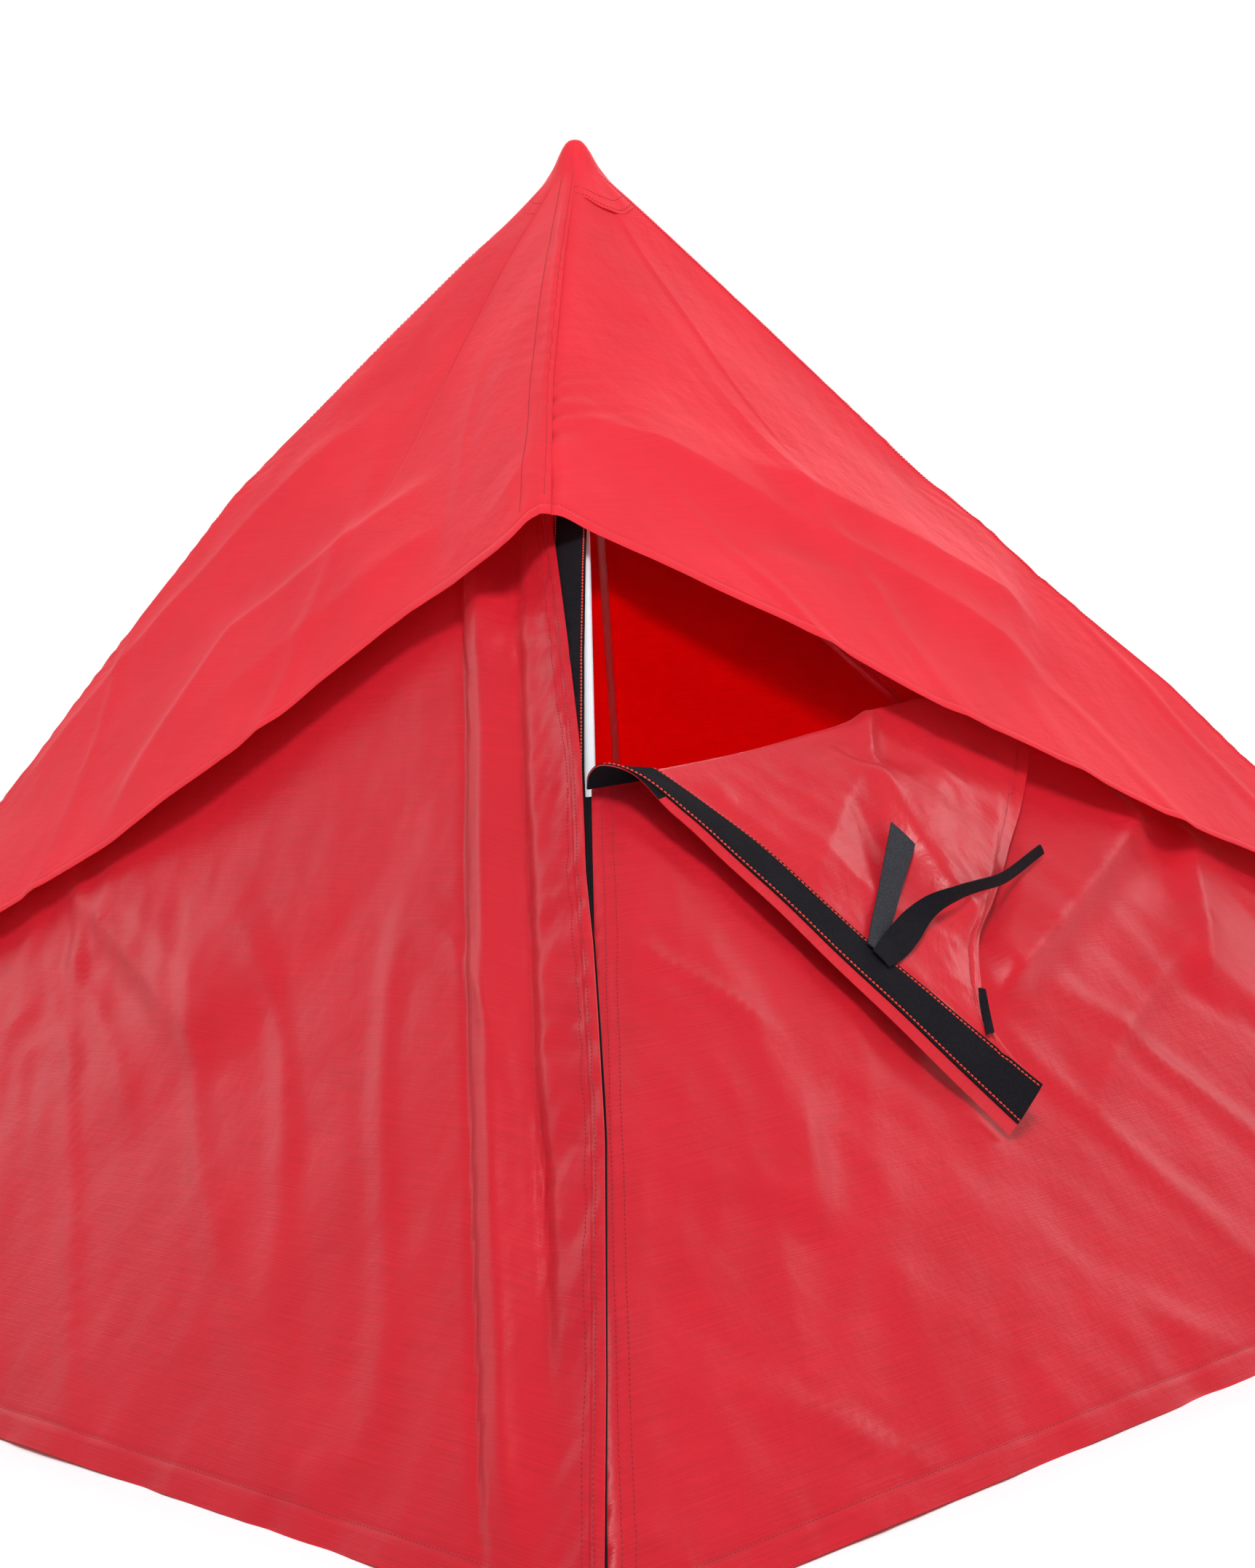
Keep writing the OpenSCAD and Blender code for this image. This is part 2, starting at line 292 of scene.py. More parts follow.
def ramp(nt, fac, stops):
    r = nt.nodes.new("ShaderNodeValToRGB")
    e = r.color_ramp.elements
    while len(e) < len(stops):
        e.new(0.5)
    for i, (pos, col) in enumerate(stops):
        e[i].position = pos
        e[i].color = (*col, 1)
    nt.links.new(fac, r.inputs["Fac"])
    return r.outputs["Color"]


def bump(nt, height, strength, distance, below=None):
    b = nt.nodes.new("ShaderNodeBump")
    b.inputs["Strength"].default_value = strength
    b.inputs["Distance"].default_value = distance
    nt.links.new(height, b.inputs["Height"])
    if below is not None:
        nt.links.new(below, b.inputs["Normal"])
    return b.outputs["Normal"]


def cloth(name, front, through, rough, share, streak=1.0, sheen=0.15, crinkle=0.35, spec=0.5):
    """Thin dyed polyester: light bounces off it and also comes through it."""
    m, nt, nodes, links = new_mat(name)
    out = nodes.new("ShaderNodeOutputMaterial")
    bs = nodes.new("ShaderNodeBsdfPrincipled")
    tr = nodes.new("ShaderNodeBsdfTranslucent")
    mix = nodes.new("ShaderNodeMixShader")
    mix.inputs[0].default_value = share
    slub = noise(nt, mapped(nt, (14, 900, 1)), 1.0, 3.0, 0.6)       # fine uneven weft threads
    warp = noise(nt, mapped(nt, (900, 14, 1)), 1.0, 2.0, 0.5)
    soft = noise(nt, mapped(nt, (1, 1, 1)), 7.0, 3.0, 0.55)         # where the dye and the coating vary
    d = 0.10 * streak
    col = ramp(nt, slub, [(0.30, tuple(c * (1 - d) for c in front)), (0.70, tuple(min(1, c * (1 + d * 0.6)) for c in front))])
    var = ramp(nt, soft, [(0.30, (0.90, 0.88, 0.88)), (0.70, (1, 1, 1))])
    mul = nodes.new("ShaderNodeMixRGB"); mul.blend_type = "MULTIPLY"; mul.inputs[0].default_value = 1.0
    links.new(col, mul.inputs[1]); links.new(var, mul.inputs[2])
    links.new(mul.outputs[0], bs.inputs["Base Color"])
    tcol = ramp(nt, slub, [(0.2, tuple(c * 0.93 for c in through)), (0.8, through)])
    links.new(tcol, tr.inputs["Color"])
    big = noise(nt, mapped(nt, (1, 1, 1)), 26.0, 4.0, 0.55)
    n = bump(nt, big, crinkle, 0.006)
    n = bump(nt, warp, 0.10 * streak, 0.0004, n)
    n = bump(nt, slub, 0.22 * streak, 0.0006, n)
    links.new(n, bs.inputs["Normal"])
    links.new(n, tr.inputs["Normal"])
    bs.inputs["Roughness"].default_value = rough
    bs.inputs["Specular IOR Level"].default_value = spec
    bs.inputs["Sheen Weight"].default_value = sheen
    bs.inputs["Sheen Roughness"].default_value = 0.45
    bs.inputs["Sheen Tint"].default_value = (1.0, 0.75, 0.75, 1)
    links.new(bs.outputs[0], mix.inputs[1]); links.new(tr.outputs[0], mix.inputs[2])
    links.new(mix.outputs[0], out.inputs[0])
    return m


def solid(name, base, rough, metal=0.0, grain=(300.0, 0.25, 0.0003), var=0.12, coat=0.0, kind="Object", second=None, stretch=(1, 1, 1), spec=0.5, edge=None):
    m, nt, nodes, links = new_mat(name)
    out = nodes.new("ShaderNodeOutputMaterial")
    bs = nodes.new("ShaderNodeBsdfPrincipled")
    sc, st, dist = grain
    g = noise(nt, mapped(nt, stretch, kind), sc, 4.0, 0.6)
    lo = tuple(c * (1 - var) for c in base); hi = tuple(min(1, c * (1 + var)) for c in base)
    col = ramp(nt, g, [(0.35, lo), (0.65, hi)] + ([(0.80, second)] if second else []))
    wear = noise(nt, mapped(nt, (1, 1, 1), kind), 18.0, 4.0, 0.6)
    tone = ramp(nt, wear, [(0.3, (0.90, 0.90, 0.90)), (0.7, (1, 1, 1))])
    mul = nodes.new("ShaderNodeMixRGB"); mul.blend_type = "MULTIPLY"; mul.inputs[0].default_value = 1.0
    links.new(col, mul.inputs[1]); links.new(tone, mul.inputs[2]); links.new(mul.outputs[0], bs.inputs["Base Color"])
    rr = nodes.new("ShaderNodeMapRange")
    rr.inputs["From Min"].default_value = 0.3; rr.inputs["From Max"].default_value = 0.7
    rr.inputs["To Min"].default_value = rough * 0.88; rr.inputs["To Max"].default_value = min(1.0, rough * 1.12)
    links.new(wear, rr.inputs["Value"]); links.new(rr.outputs[0], bs.inputs["Roughness"])
    links.new(bump(nt, g, st, dist), bs.inputs["Normal"])
    bs.inputs["Metallic"].default_value = metal
    bs.inputs["Coat Weight"].default_value = coat
    bs.inputs["Specular IOR Level"].default_value = spec
    links.new(bs.outputs[0], out.inputs[0])
    return m


FLY = cloth("canopy_weave", (0.86, 0.030, 0.052), (0.97, 0.010, 0.026), 0.80, 0.32, streak=0.6, sheen=0.10, crinkle=0.30, spec=0.35)
WALL = cloth("wall_taffeta", (0.70, 0.016, 0.034), (0.95, 0.006, 0.018), 0.37, 0.34, streak=1.3, sheen=0.04, crinkle=0.18, spec=0.32)
FLAP = cloth("flap_taffeta", (0.74, 0.018, 0.036), (0.95, 0.006, 0.018), 0.35, 0.32, streak=1.1, sheen=0.05, crinkle=0.35, spec=0.5)
THREAD_DARK = solid("thread_crimson", (0.30, 0.006, 0.014), 0.7, grain=(900.0, 0.3, 0.0002), kind="Object")
THREAD_RED = solid("thread_red", (0.80, 0.045, 0.025), 0.65, grain=(900.0, 0.3, 0.0002), kind="Object")
PILE = solid("hook_loop_black", (0.008, 0.007, 0.010), 0.9, grain=(900.0, 1.0, 0.0012), var=0.5, second=(0.060, 0.052, 0.066), spec=0.12)
SELV = solid("tape_edge_black", (0.005, 0.005, 0.007), 0.8, grain=(900.0, 0.5, 0.0004), var=0.3, spec=0.12)
GREY = solid("loop_grey", (0.034, 0.034, 0.042), 0.85, grain=(900.0, 0.9, 0.0012), var=0.45, second=(0.13, 0.13, 0.15), spec=0.15)
WEB = solid("webbing_black", (0.022, 0.022, 0.025), 0.75, grain=(420.0, 0.9, 0.0008), var=0.35, stretch=(1, 1, 1), spec=0.4)
STEEL = solid("white_powder_coat", (0.78, 0.79, 0.83), 0.32, grain=(700.0, 0.12, 0.0002), var=0.02, coat=0.15)
PLASTIC = solid("black_nylon", (0.022, 0.022, 0.025), 0.48, grain=(900.0, 0.25, 0.0003), var=0.15)
ZINC = solid("zinc_plate", (0.55, 0.55, 0.56), 0.30, metal=1.0, grain=(350.0, 0.15, 0.0002), var=0.10, stretch=(1, 1, 6))


# ------------------------------------------------------------------ how far the cloth stands off its plane
def corner_round(s, rho):
    t = 0.703 * rho
    return -0.1816 * rho * np.clip(1 - s / t, 0, 1) ** 2


def puckers(s, run, seed, amp, wave, reach):
    """Short gathers that run away from a seam: s is the distance from it, run the place along it."""
    j = perlin(run / (wave * 3.1), s / 400 + 0.37, seed) * 2.2
    strength = np.clip(0.55 + 0.9 * perlin(run / (wave * 6.0), np.zeros_like(s) + 3.3, seed + 5), 0, 1.4)
    return amp * strength * np.sin(2 * np.pi * (run / wave + j)) * np.exp(-np.maximum(s, 0) / reach)


def wall_offset(az, P, Q, HWD):
    """Offset of a wall's outer face. HWD is how far the face reaches from its middle on that side."""
    s = HWD - np.abs(P)                                  # distance from the corner seam
    lam = np.clip(np.abs(P) / np.maximum(HWD, 1), 0, 1)
    inner = sstep(0, 70, s) * sstep(1345, 1180, Q)
    o = 3.6 * fbm(P / 330 + az, Q / 420, 100 + az, 2) * inner
    o = o + 1.3 * fbm(P / 95 + Q / 300, Q / 170, 140 + az, 3) * inner
    o = o - 7.0 * (1 - lam ** 2) * np.sin(np.pi * np.clip(Q / 1200, 0, 1))
    if az == 225:                                          # the free door edge is a flat stitched hem, not a seam
        o = o + np.where(P > 0, 0.9 * sstep(14.5, 13.0, s) - 1.3 * np.exp(-((s - 12.0) / 1.1) ** 2), corner_round(s, 22))
    else:
        o = o + corner_round(s, 22)
    o = o + puckers(s, Q + 530 * (P > 0), 160 + az, 0.9, 26, 30) * sstep(0, 8, s) * sstep(1330, 1200, Q)
    # long pulls that run from the corner foot up into the face
    w = ridged(P / 210 + Q / 260, Q / 900 - P / 1400, 180 + az) - 0.72
    o = o + 3.2 * np.clip(w, 0, 1) / 0.28 * inner * sstep(900, 350, Q) * sstep(0, 60, Q)
    # the hem on the ground
    o = o + 2.2 * fbm(P / 60, np.zeros_like(Q) + 0.5, 190 + az, 2) * sstep(110, 0, Q) * sstep(0, 50, s)
    if az == 225:
        pleat = [(130, 905), (159, 835), (217, 742), (312, 589), (398, 454), (499, 300), (640, 85), (690, 10)]
        valley = [(190, 915), (215, 853), (283, 737), (377, 588), (463, 456), (562, 306), (700, 95)]
        second = [(150, 935), (165, 909), (221, 820), (277, 737)]
        third = [(235, 860), (276, 822), (309, 773), (370, 687), (403, 650), (437, 614), (480, 560)]
        d, t = along(P, Q, pleat)
        into = d                                          # + on the door's side of the fold
        tp = sstep(0, 0.08, t) * sstep(1.02, 0.90, t)
        o = o + (7.0 * sstep(-2.0, 3.0, into) * np.exp(-np.maximum(into, 0) / 70)) * tp
        o = o - 2.5 * np.exp(-((into + 5) / 5.0) ** 2) * tp
        o = o + 9.5 * np.exp(-((into - 24) / 16.0) ** 2) * tp
        dv, tv = along(P, Q, valley)
        o = o - 8.5 * np.exp(-(dv / 9.0) ** 2) * sstep(0, 0.1, tv) * sstep(1, 0.8, tv)
        o = o + crease(P, Q, second, 5.0, 8, 30, 0.15)
        o = o + crease(P, Q, third, 6.5, 22, 7, 0.18)
        near = sstep(120, 20, s)
        o = o + near * 2.4 * fbm(P / 34 + 3, Q / 60, 231, 3) * sstep(0, 16, s)
        o = o + puckers(s - 10, Q, 237, 2.2, 24, 26) * near * sstep(150, 260, Q) * sstep(2, 16, s)
        o = o + crease(P, Q, [(-260, 520), (-234, 508), (-78, 440), (38, 385), (168, 325)], 11.0, 58, 9, 0.2)
        o = o + crease(P, Q, [(-237, 500), (-157, 445), (-130, 400)], 2.5, 22, 7, 0.25)
        o = o + crease(P, Q, [(-215, 460), (-149, 414), (-136, 407), (-118, 400), (-22, 346), (89, 262)], 3.6, 9, 22, 0.2)
        o = o + crease(P, Q, [(-226, 540), (-120, 490), (60, 410), (200, 345)], 5.0, 40, 12, 0.3)
        patch = np.exp(-(((P + 180) / 170) ** 2 + ((Q - 380) / 150) ** 2))
        o = o + patch * 2.6 * (ridged(P / 46 + Q / 60, Q / 120 - P / 200, 238) - 0.4)
    if az == 315:
        low = sstep(700, 560, Q)
        o = o + crease(P, Q, [(-462, 545), (-433, 508), (-387, 479), (-340, 450)], 3.0, 22, 10, 0.25)
        o = o + crease(P, Q, [(-318, 450), (-336, 420), (-354, 383), (-389, 329), (-429, 270), (-470, 190)], 9.5, 9, 42, 0.15)
        o = o + crease(P, Q, [(-262, 430), (-306, 363), (-356, 265), (-400, 170)], 4.0, 14, 24, 0.2)
        o = o + crease(P, Q, [(-533, 430), (-480, 400), (-430, 400), (-380, 430)], 3.0, 26, 16, 0.25)
        o = o + crease(P, Q, [(251, 535), (160, 490), (62, 445), (-20, 410), (-108, 372), (-150, 352)], 25.0, 14, 60, 0.14)
        o = o + crease(P, Q, [(298, 518), (253, 452), (195, 374), (150, 320)], 16.0, 38, 11, 0.2)
        o = o + crease(P, Q, [(-117, 223), (1, 305), (162, 378), (260, 420)], 10.0, 38, 12, 0.25)
        o = o + crease(P, Q, [(-150, 430), (-190, 330), (-260, 200)], 3.5, 18, 26, 0.25)
        lowl = sstep(-30, -260, P) * low
        o = o + lowl * 1.3 * (ridged(P / 70 - Q / 110, Q / 190 + P / 260, 331) - 0.5)
        rgt = sstep(-120, 40, P) * low
        o = o + rgt * 1.2 * (ridged(P / 90 + Q / 130, Q / 260 - P / 300, 333) - 0.5) * sstep(0, 60, s)
        edge = np.interp(Q, [240, 268, 340, 409, 442, 585, 640], [-213, -160, -172, -127, -80, 60, 75])
        under = sstep(-430, -380, P) * sstep(42, 8, P - edge) * sstep(215, 260, Q) * sstep(660, 620, Q)
        o = o - under * np.maximum(o - 1.0, 0)                # the flap hangs over this part
    return o


def fly_extra(corner, z):
    """How much further out the canopy runs over each corner tube, by height."""
    pts = {"left": [(150, -6), (480, -12), (555, -8), (640, 2), (790, 17), (950, 10), (1110, 0)],
           "right": [(150, -2), (480, -6), (555, -2), (640, -6), (790, -12), (950, -5), (1110, 0)],
           "front": [(150, 0), (700, 4), (950, 2), (1110, 0)],
           "back": [(150, 0), (700, 3), (950, 2), (1110, 0)]}[corner]
    zs, v = zip(*pts)
    return np.interp(z, zs, v)


def fly_offset(az, P, Q, HWD, above):
    """Offset of the canopy's outer face; above is the distance above its hem."""
    neg, pos = FACES[az]
    s = HWD - np.abs(P)
    lam = np.clip(np.abs(P) / np.maximum(HWD, 1), 0, 1)
    top = sstep(1345, 1150, Q)
    z = Q * SI + 16 * CO
    corner = np.where(P < 0, fly_extra(neg, z), fly_extra(pos, z))
    o = 15.2 + corner * np.exp(-(s / 130) ** 2) * sstep(1345, 1250, Q)
    off = 27.0 * (1 - lam ** 1.9)
    if az == 225:
        off = np.interp(P / np.maximum(HWD, 1), [-1, -0.6, -0.2, 0.1, 0.4, 0.6, 0.8, 0.9, 1], [0, 7, 7, 8, 12, 15, 13, 9, 0])
    o = o + off * np.exp(-np.maximum(above, 0) / 250) * top        # the hem stands off the wall
    inner = sstep(0, 60, s) * top
    o = o + 4.0 * fbm(P / 300 + 9, Q / 380 + az, 200 + az, 2) * inner
    o = o + 1.1 * fbm(P / 80, Q / 130 + az, 240 + az, 3) * inner
    o = o + corner_round(s, 24)
    o = o + puckers(s, Q + 530 * (P > 0), 260 + az, 0.9, 24, 34) * sstep(0, 8, s) * top
    o = o + np.where(P > 0, 1.1, 0.0) * sstep(17.0, 15.6, s) * sstep(1345, 1250, Q)
    o = o + puckers(above, P, 280 + az, 0.9, 38, 26) * sstep(0, 60, s) * sstep(14, 26, above)
    w = ridged(P / 240, Q / 700 + P / 500, 290 + az) - 0.76
    o = o + 2.6 * np.clip(w, 0, 1) / 0.24 * inner * sstep(1200, 900, Q)
    if az == 315:
        o = o + crease(P, Q, [(-215, 1000), (-188, 977), (-90, 895), (20, 815), (132, 724), (200, 668)], 17.0, 80, 12, 0.16)
        o = o - 7.0 * np.exp(-(((P + 60) / 120) ** 2 + ((Q - 850) / 45) ** 2)) * inner
        o = o + crease(P, Q, [(-74, 943), (60, 858), (170, 790), (256, 737)], 11.0, 42, 10, 0.2)
        o = o + crease(P, Q, [(-149, 833), (-60, 800), (40, 760)], 6.0, 14, 40, 0.25)
        o = o + puckers(s, Q, 391, 2.0, 30, 42) * sstep(-60, -200, P) * sstep(880, 930, Q) * sstep(1080, 990, Q)
    if az == 225:
        o = o + crease(P, Q, [(98, 957), (-10, 872), (-129, 775), (-160, 650), (-179, 524)], 12.0, 58, 12, 0.2)
        o = o + crease(P, Q, [(160, 900), (60, 820), (-60, 722), (-120, 668)], 8.0, 16, 40, 0.25)
        o = o + crease(P, Q, [(-60, 1080), (-190, 930), (-290, 800), (-380, 660), (-440, 560)], 9.0, 34, 18, 0.25)
    return o


# ------------------------------------------------------------------ hem of the canopy, in face coordinates by the share of the half width
def hem_curve(az, side):
    """(shares, heights): the canopy's lower edge on that half of a face, from the middle to the corner."""
    right_peak = [(0, 618.7), (.079, 641.3), (.195, 677), (.34, 722.4), (.522, 768), (.693, 810), (.786, 830), (.884, 852), (.95, 867), (1, 875)]
    right_tip = [(0, 618.7), (.06, 602.5), (.13, 584.2), (.246, 545.5), (.388, 499), (.588, 449), (.78, 385), (1, 308)]
    left_peak = [(0, 653.3), (.163, 712), (.37, 768.4), (.636, 807), (.834, 838), (.93, 865), (1, 875)]
    left_tip = [(0, 653.3), (.109, 607.3), (.226, 565), (.354, 520), (.433, 496), (.524, 460), (.75, 378), (1, 295)]
    shapes = {(315, -1): right_peak, (315, 1): right_tip, (225, 1): left_peak, (225, -1): left_tip,
              (45, -1): right_tip, (45, 1): right_peak, (135, -1): left_peak, (135, 1): left_tip}
    lam, q = zip(*shapes[(az, side)])
    return np.array(lam), np.array(q, float)


def smooth_interp(x, xp, fp):
    """Piecewise cubic (Hermite, with averaged slopes): no kinks in a hem."""
    xp, fp = np.asarray(xp, float), np.asarray(fp, float)
    d = np.diff(fp) / np.diff(xp)
    m = np.concatenate([[d[0]], (d[1:] + d[:-1]) / 2, [d[-1]]])
    i = np.clip(np.searchsorted(xp, x, side="right") - 1, 0, len(xp) - 2)
    h = xp[i + 1] - xp[i]; t = np.clip((x - xp[i]) / h, 0, 1)
    return ((2 * t ** 3 - 3 * t ** 2 + 1) * fp[i] + (t ** 3 - 2 * t ** 2 + t) * h * m[i]
            + (-2 * t ** 3 + 3 * t ** 2) * fp[i + 1] + (t ** 3 - t ** 2) * h * m[i + 1])


def squash_to(ob, az):
    """Gives the object its own copy of its mesh; the half face is not gathered onto its rib."""
    n, h, g, m = axes(az)
    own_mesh(ob)


FINE, COARSE = 7.0, 13.0
flat_area = lambda d: area_of(np.stack([d["P"], d["Q"], np.zeros_like(d["P"])], -1))       # the panel laid on its plane face, without folds
area_of = lambda G: float(np.linalg.norm(np.cross(G[1:, 1:] - G[:-1, :-1], G[1:, :-1] - G[:-1, 1:]), axis=-1).sum() / 2 / 1e6)


NEAR = 190.0


def columns(W, step):
    """Distances from the middle for one half of a face, for each row's half width W: fixed ones beside the corner seam, so that folds along it stay on the grid's lines, and even ones between them and the middle."""
    near = np.concatenate([[0, 0.8, 1.8, 3.2, 5, 7.2, 9.6, 12, 13.6, 14.6, 15.6, 17.2], np.arange(20.0, NEAR + 0.1, min(step, 9.0) * 0.62)])
    k = np.clip(W / 330.0, 0.0, 1.0)
    far = np.linspace(0, 1, max(6, int((560 - NEAR) / step)) + 1)[1:]
    s = near[None] * k[:, None]
    rest = s[:, -1:] + (W[:, None] - s[:, -1:]) * far[None]
    return W[:, None] - np.concatenate([s, rest], 1)[:, ::-1]


# ------------------------------------------------------------------ canopy
def make_fly_face(az):
    step = FINE if az in (225, 315) else COARSE
    rows_top = int(900 / step)
    fixed = np.array([0, 0.6, 3.0, 7.0, 10.5, 12.0, 13.5, 17.0, 22.0, 28.0])
    q_top = (1120 - 15.2 * CO) / SI - 1.5
    t = np.linspace(0, 1, rows_top)
    sides = []
    for sign in (-1, 1):
        lam = columns(np.array([500.0]), step)[0] / 500.0
        for _ in range(3):
            q_hem = smooth_interp(np.clip(lam, 0, 1), *hem_curve(az, sign))
            q_hem = np.broadcast_to(q_hem, lam.shape)
            base = np.atleast_2d(q_hem)
            Q = np.concatenate([base[:1] + fixed[:, None], (base[:1] + 34) + (q_top - base[:1] - 34) * t[:, None]])
            above = Q - base[:1]
            # each row keeps its own spacing: take the half width at the row's own height near the corner
            Wr = half(Q[:, -1], 16.0)
            cols = columns(Wr, step)
            lam_rows = cols / Wr[:, None]
            lam = lam_rows[0]
        O = np.full(Q.shape, 16.0)
        for _ in range(2):
            W = half(Q, O)
            P = sign * lam_rows * W
            O = fly_offset(az, P, Q, W, above)
        sides.append((P, Q, O, above, lam_rows))
    (P0, Q0, O0, A0, L0), (P1, Q1, O1, A1, L1) = sides
    join = lambda x, y: np.concatenate([x[:, ::-1], y[:, 1:]], axis=1)
    Q, O, above = join(Q0, Q1), join(O0, O1), join(A0, A1)
    LAM = join(-L0, L1)
    # turned hem: a slightly thicker band with a groove at its stitching, and the cut edge rolled in
    O = O + 1.3 * sstep(13.2, 10.8, above) - 1.4 * np.exp(-((above - 12.2) / 0.9) ** 2) - 1.2 * sstep(1.5, 0.0, above)
    P = LAM * half(Q, O)
    G = put(az, P, Q, O)
    # the front seam runs a little to the left of the tube
    s3 = half(Q, O) - np.abs(P)
    front_side = (az == 225) & (P > 0) | (az == 315) & (P < 0)
    pull = np.where(front_side, np.exp(-(s3 / 150.0) ** 2), 0.0) * np.interp(G[..., 2], [0, 700, 860, 1000, 1105], [27, 27, 24, 12, 0])
    G[..., 0] -= pull
    return G, P, Q, O, above, L0.shape[1] - 1


fly_parts = {}
for az in FACES:
    G, P, Q, O, above, mid = make_fly_face(az)
    n, h, g, m = axes(az)
    N = grid_normals(G, n)
    uv = np.stack([P, Q], -1) / 1000
    for side, corner in ((-1, FACES[az][0]), (1, FACES[az][1])):
        cols = slice(0, mid + 1) if side < 0 else slice(mid, None)
        fly_parts[(az, side)] = dict(G=G[:, cols], N=N[:, cols], uv=uv[:, cols], P=P[:, cols], Q=Q[:, cols], above=above[:, cols], corner=corner)

for corner in CORNER_AZ:
    for az, side in [(a, s) for a in FACES for s, c in ((-1, FACES[a][0]), (1, FACES[a][1])) if c == corner]:
        d = fly_parts[(az, side)]
        b = Builder()
        b.shell(d["G"], 0.9, d["uv"], N=d["N"], mat=0)
        front = az in (225, 315)
        r = 5                                              # the row that lies in the hem groove
        b.stitches(d["G"][r], d["N"][r], pitch=3.6 if front else 5.0, length=2.7 if front else 3.8, width=0.9, height=0.5)
        # two rows of stitching beside the corner seam
        col = -1 if side > 0 else 0
        for off in ((1.8, 14.4) if side > 0 else ()):
            w = np.abs(d["P"][:, col])[:, None] - np.abs(d["P"])
            idx = []
            L, NN = [], []
            for r in range(8, d["G"].shape[0]):
                row = w[r] if side < 0 else w[r][::-1]
                gg = d["G"][r] if side < 0 else d["G"][r][::-1]
                nn = d["N"][r] if side < 0 else d["N"][r][::-1]
                if row.max() < off + 3:
                    continue
                k = np.searchsorted(row, off)
                k = max(1, min(k, len(row) - 1))
                f = (off - row[k - 1]) / max(row[k] - row[k - 1], 1e-6)
                L.append(gg[k - 1] * (1 - f) + gg[k] * f); NN.append(nn[k - 1] * (1 - f) + nn[k] * f)
            if len(L) > 3:
                b.stitches(np.array(L), unit(np.array(NN)), pitch=3.6 if front else 5.0, length=2.6 if front else 3.6, width=0.8, height=0.45)
        name = f"canopy_{corner}_{az}"
        ob = b.done(name, [FLY, THREAD_DARK])
        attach(ob, f"rib_{corner}")
        squash_to(ob, az)
        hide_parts(f"fly_{corner}")
        a = flat_area(d)


# ------------------------------------------------------------------ walls
def wall_halfwidth(az, sign, q):
    w = half(q)
    if az == 225 and sign > 0:                            # the free edge on the left of the door
        e = np.interp(q, [0, 150, 312, 345, 400, 459, 521, 587, 621, 657, 702, 748, 797, 847, 890, 1010, 1330],
                      [2, -5, -9, -7.5, -5, -1.5, 5, 6.4, 7.4, 10.9, 16.2, 21.7, 28.3, 35.3, 41.6, 42, 6])
        return w - e
    if az == 315 and sign < 0:
        return w - np.interp(q, [0, 600, 1330], [3, 3, 3])
    return w


def fold_q(p):
    """Height of the line where upper and lower wall meet on the front right face."""
    return np.interp(p, [-450, -1, 1, 450], [598.5, 635.5, 636.0, 600.0])


walls = {}


def make_wall_face(az):
    step = FINE if az in (225, 315) else COARSE
    q_top = 1092 / SI
    rows_low = np.array([0.7, 2.5, 6.0, 10.0, 16.0, 21.0, 22.6, 24.2, 29.0])
    body = np.linspace(0, 1, int(560 / step))
    up = np.linspace(0, 1, int(740 / step))
    sides = []
    for sign in (-1, 1):
        lam_rows = None
        for _ in range(3):
            shape_l = columns(np.array([500.0]), step)[0] / 500.0 if lam_rows is None else lam_rows[len(rows_low) + len(body) - 1]
            sp = 600 + (36 * (1 - shape_l) if az == 315 else 0 * shape_l)
            QL = np.concatenate([np.broadcast_to(rows_low[:, None], (len(rows_low), len(sp))), 36 + (sp - 36)[None] * body[:, None]])
            Q = np.concatenate([QL, sp[None] + (q_top - sp)[None] * up[1:, None]])
            Wr = wall_halfwidth(az, sign, Q[:, -1])
            lam_rows = columns(Wr, step) / Wr[:, None]
        O = np.zeros(Q.shape)
        for _ in range(2):
            W = wall_halfwidth(az, sign, Q) + O * SI
            P = sign * lam_rows * W
            O = wall_offset(az, P, Q, W)
        O = O + 0.9 * sstep(24.0, 21.0, Q) - 1.0 * np.exp(-((Q - 22.6) / 1.0) ** 2)    # ground hem
        P = sign * lam_rows * (wall_halfwidth(az, sign, Q) + O * SI)
        sides.append((P, Q, O))
    join = lambda k: np.concatenate([sides[0][k][:, ::-1], sides[1][k][:, 1:]], axis=1)
    P, Q, O = join(0), join(1), join(2)
    G = put(az, P, Q, O)
    G[..., 2] = np.maximum(G[..., 2], 0.3)
    return G, P, Q, O, sides[0][0].shape[1] - 1, len(QL) - 1


for az in FACES:
    G, P, Q, O, mid, split_row = make_wall_face(az)
    n, h, g, m = axes(az)
    walls[az] = dict(G=G, N=grid_normals(G, n), P=P, Q=Q, uv=np.stack([P, Q], -1) / 1000, split=split_row, mid=mid)


def line_at(d, off, r0, r1, side):
    """Points at a fixed distance from the outer edge of a part's grid."""
    G, N, P = d["G"], d["N"], d["P"]
    L, NN = [], []
    for r in range(r0, r1):
        row = np.abs(P[r]); gg, nn = G[r], N[r]
        if side > 0:
            row, gg, nn = row[::-1], gg[::-1], nn[::-1]
        w = row[0] - row
        if w.max() < off + 3:
            continue
        k = max(1, min(int(np.searchsorted(w, off)), len(w) - 1))
        f = (off - w[k - 1]) / max(w[k] - w[k - 1], 1e-6)
        L.append(gg[k - 1] * (1 - f) + gg[k] * f); NN.append(nn[k - 1] * (1 - f) + nn[k] * f)
    return np.array(L), unit(np.array(NN)) if NN else np.array(NN)


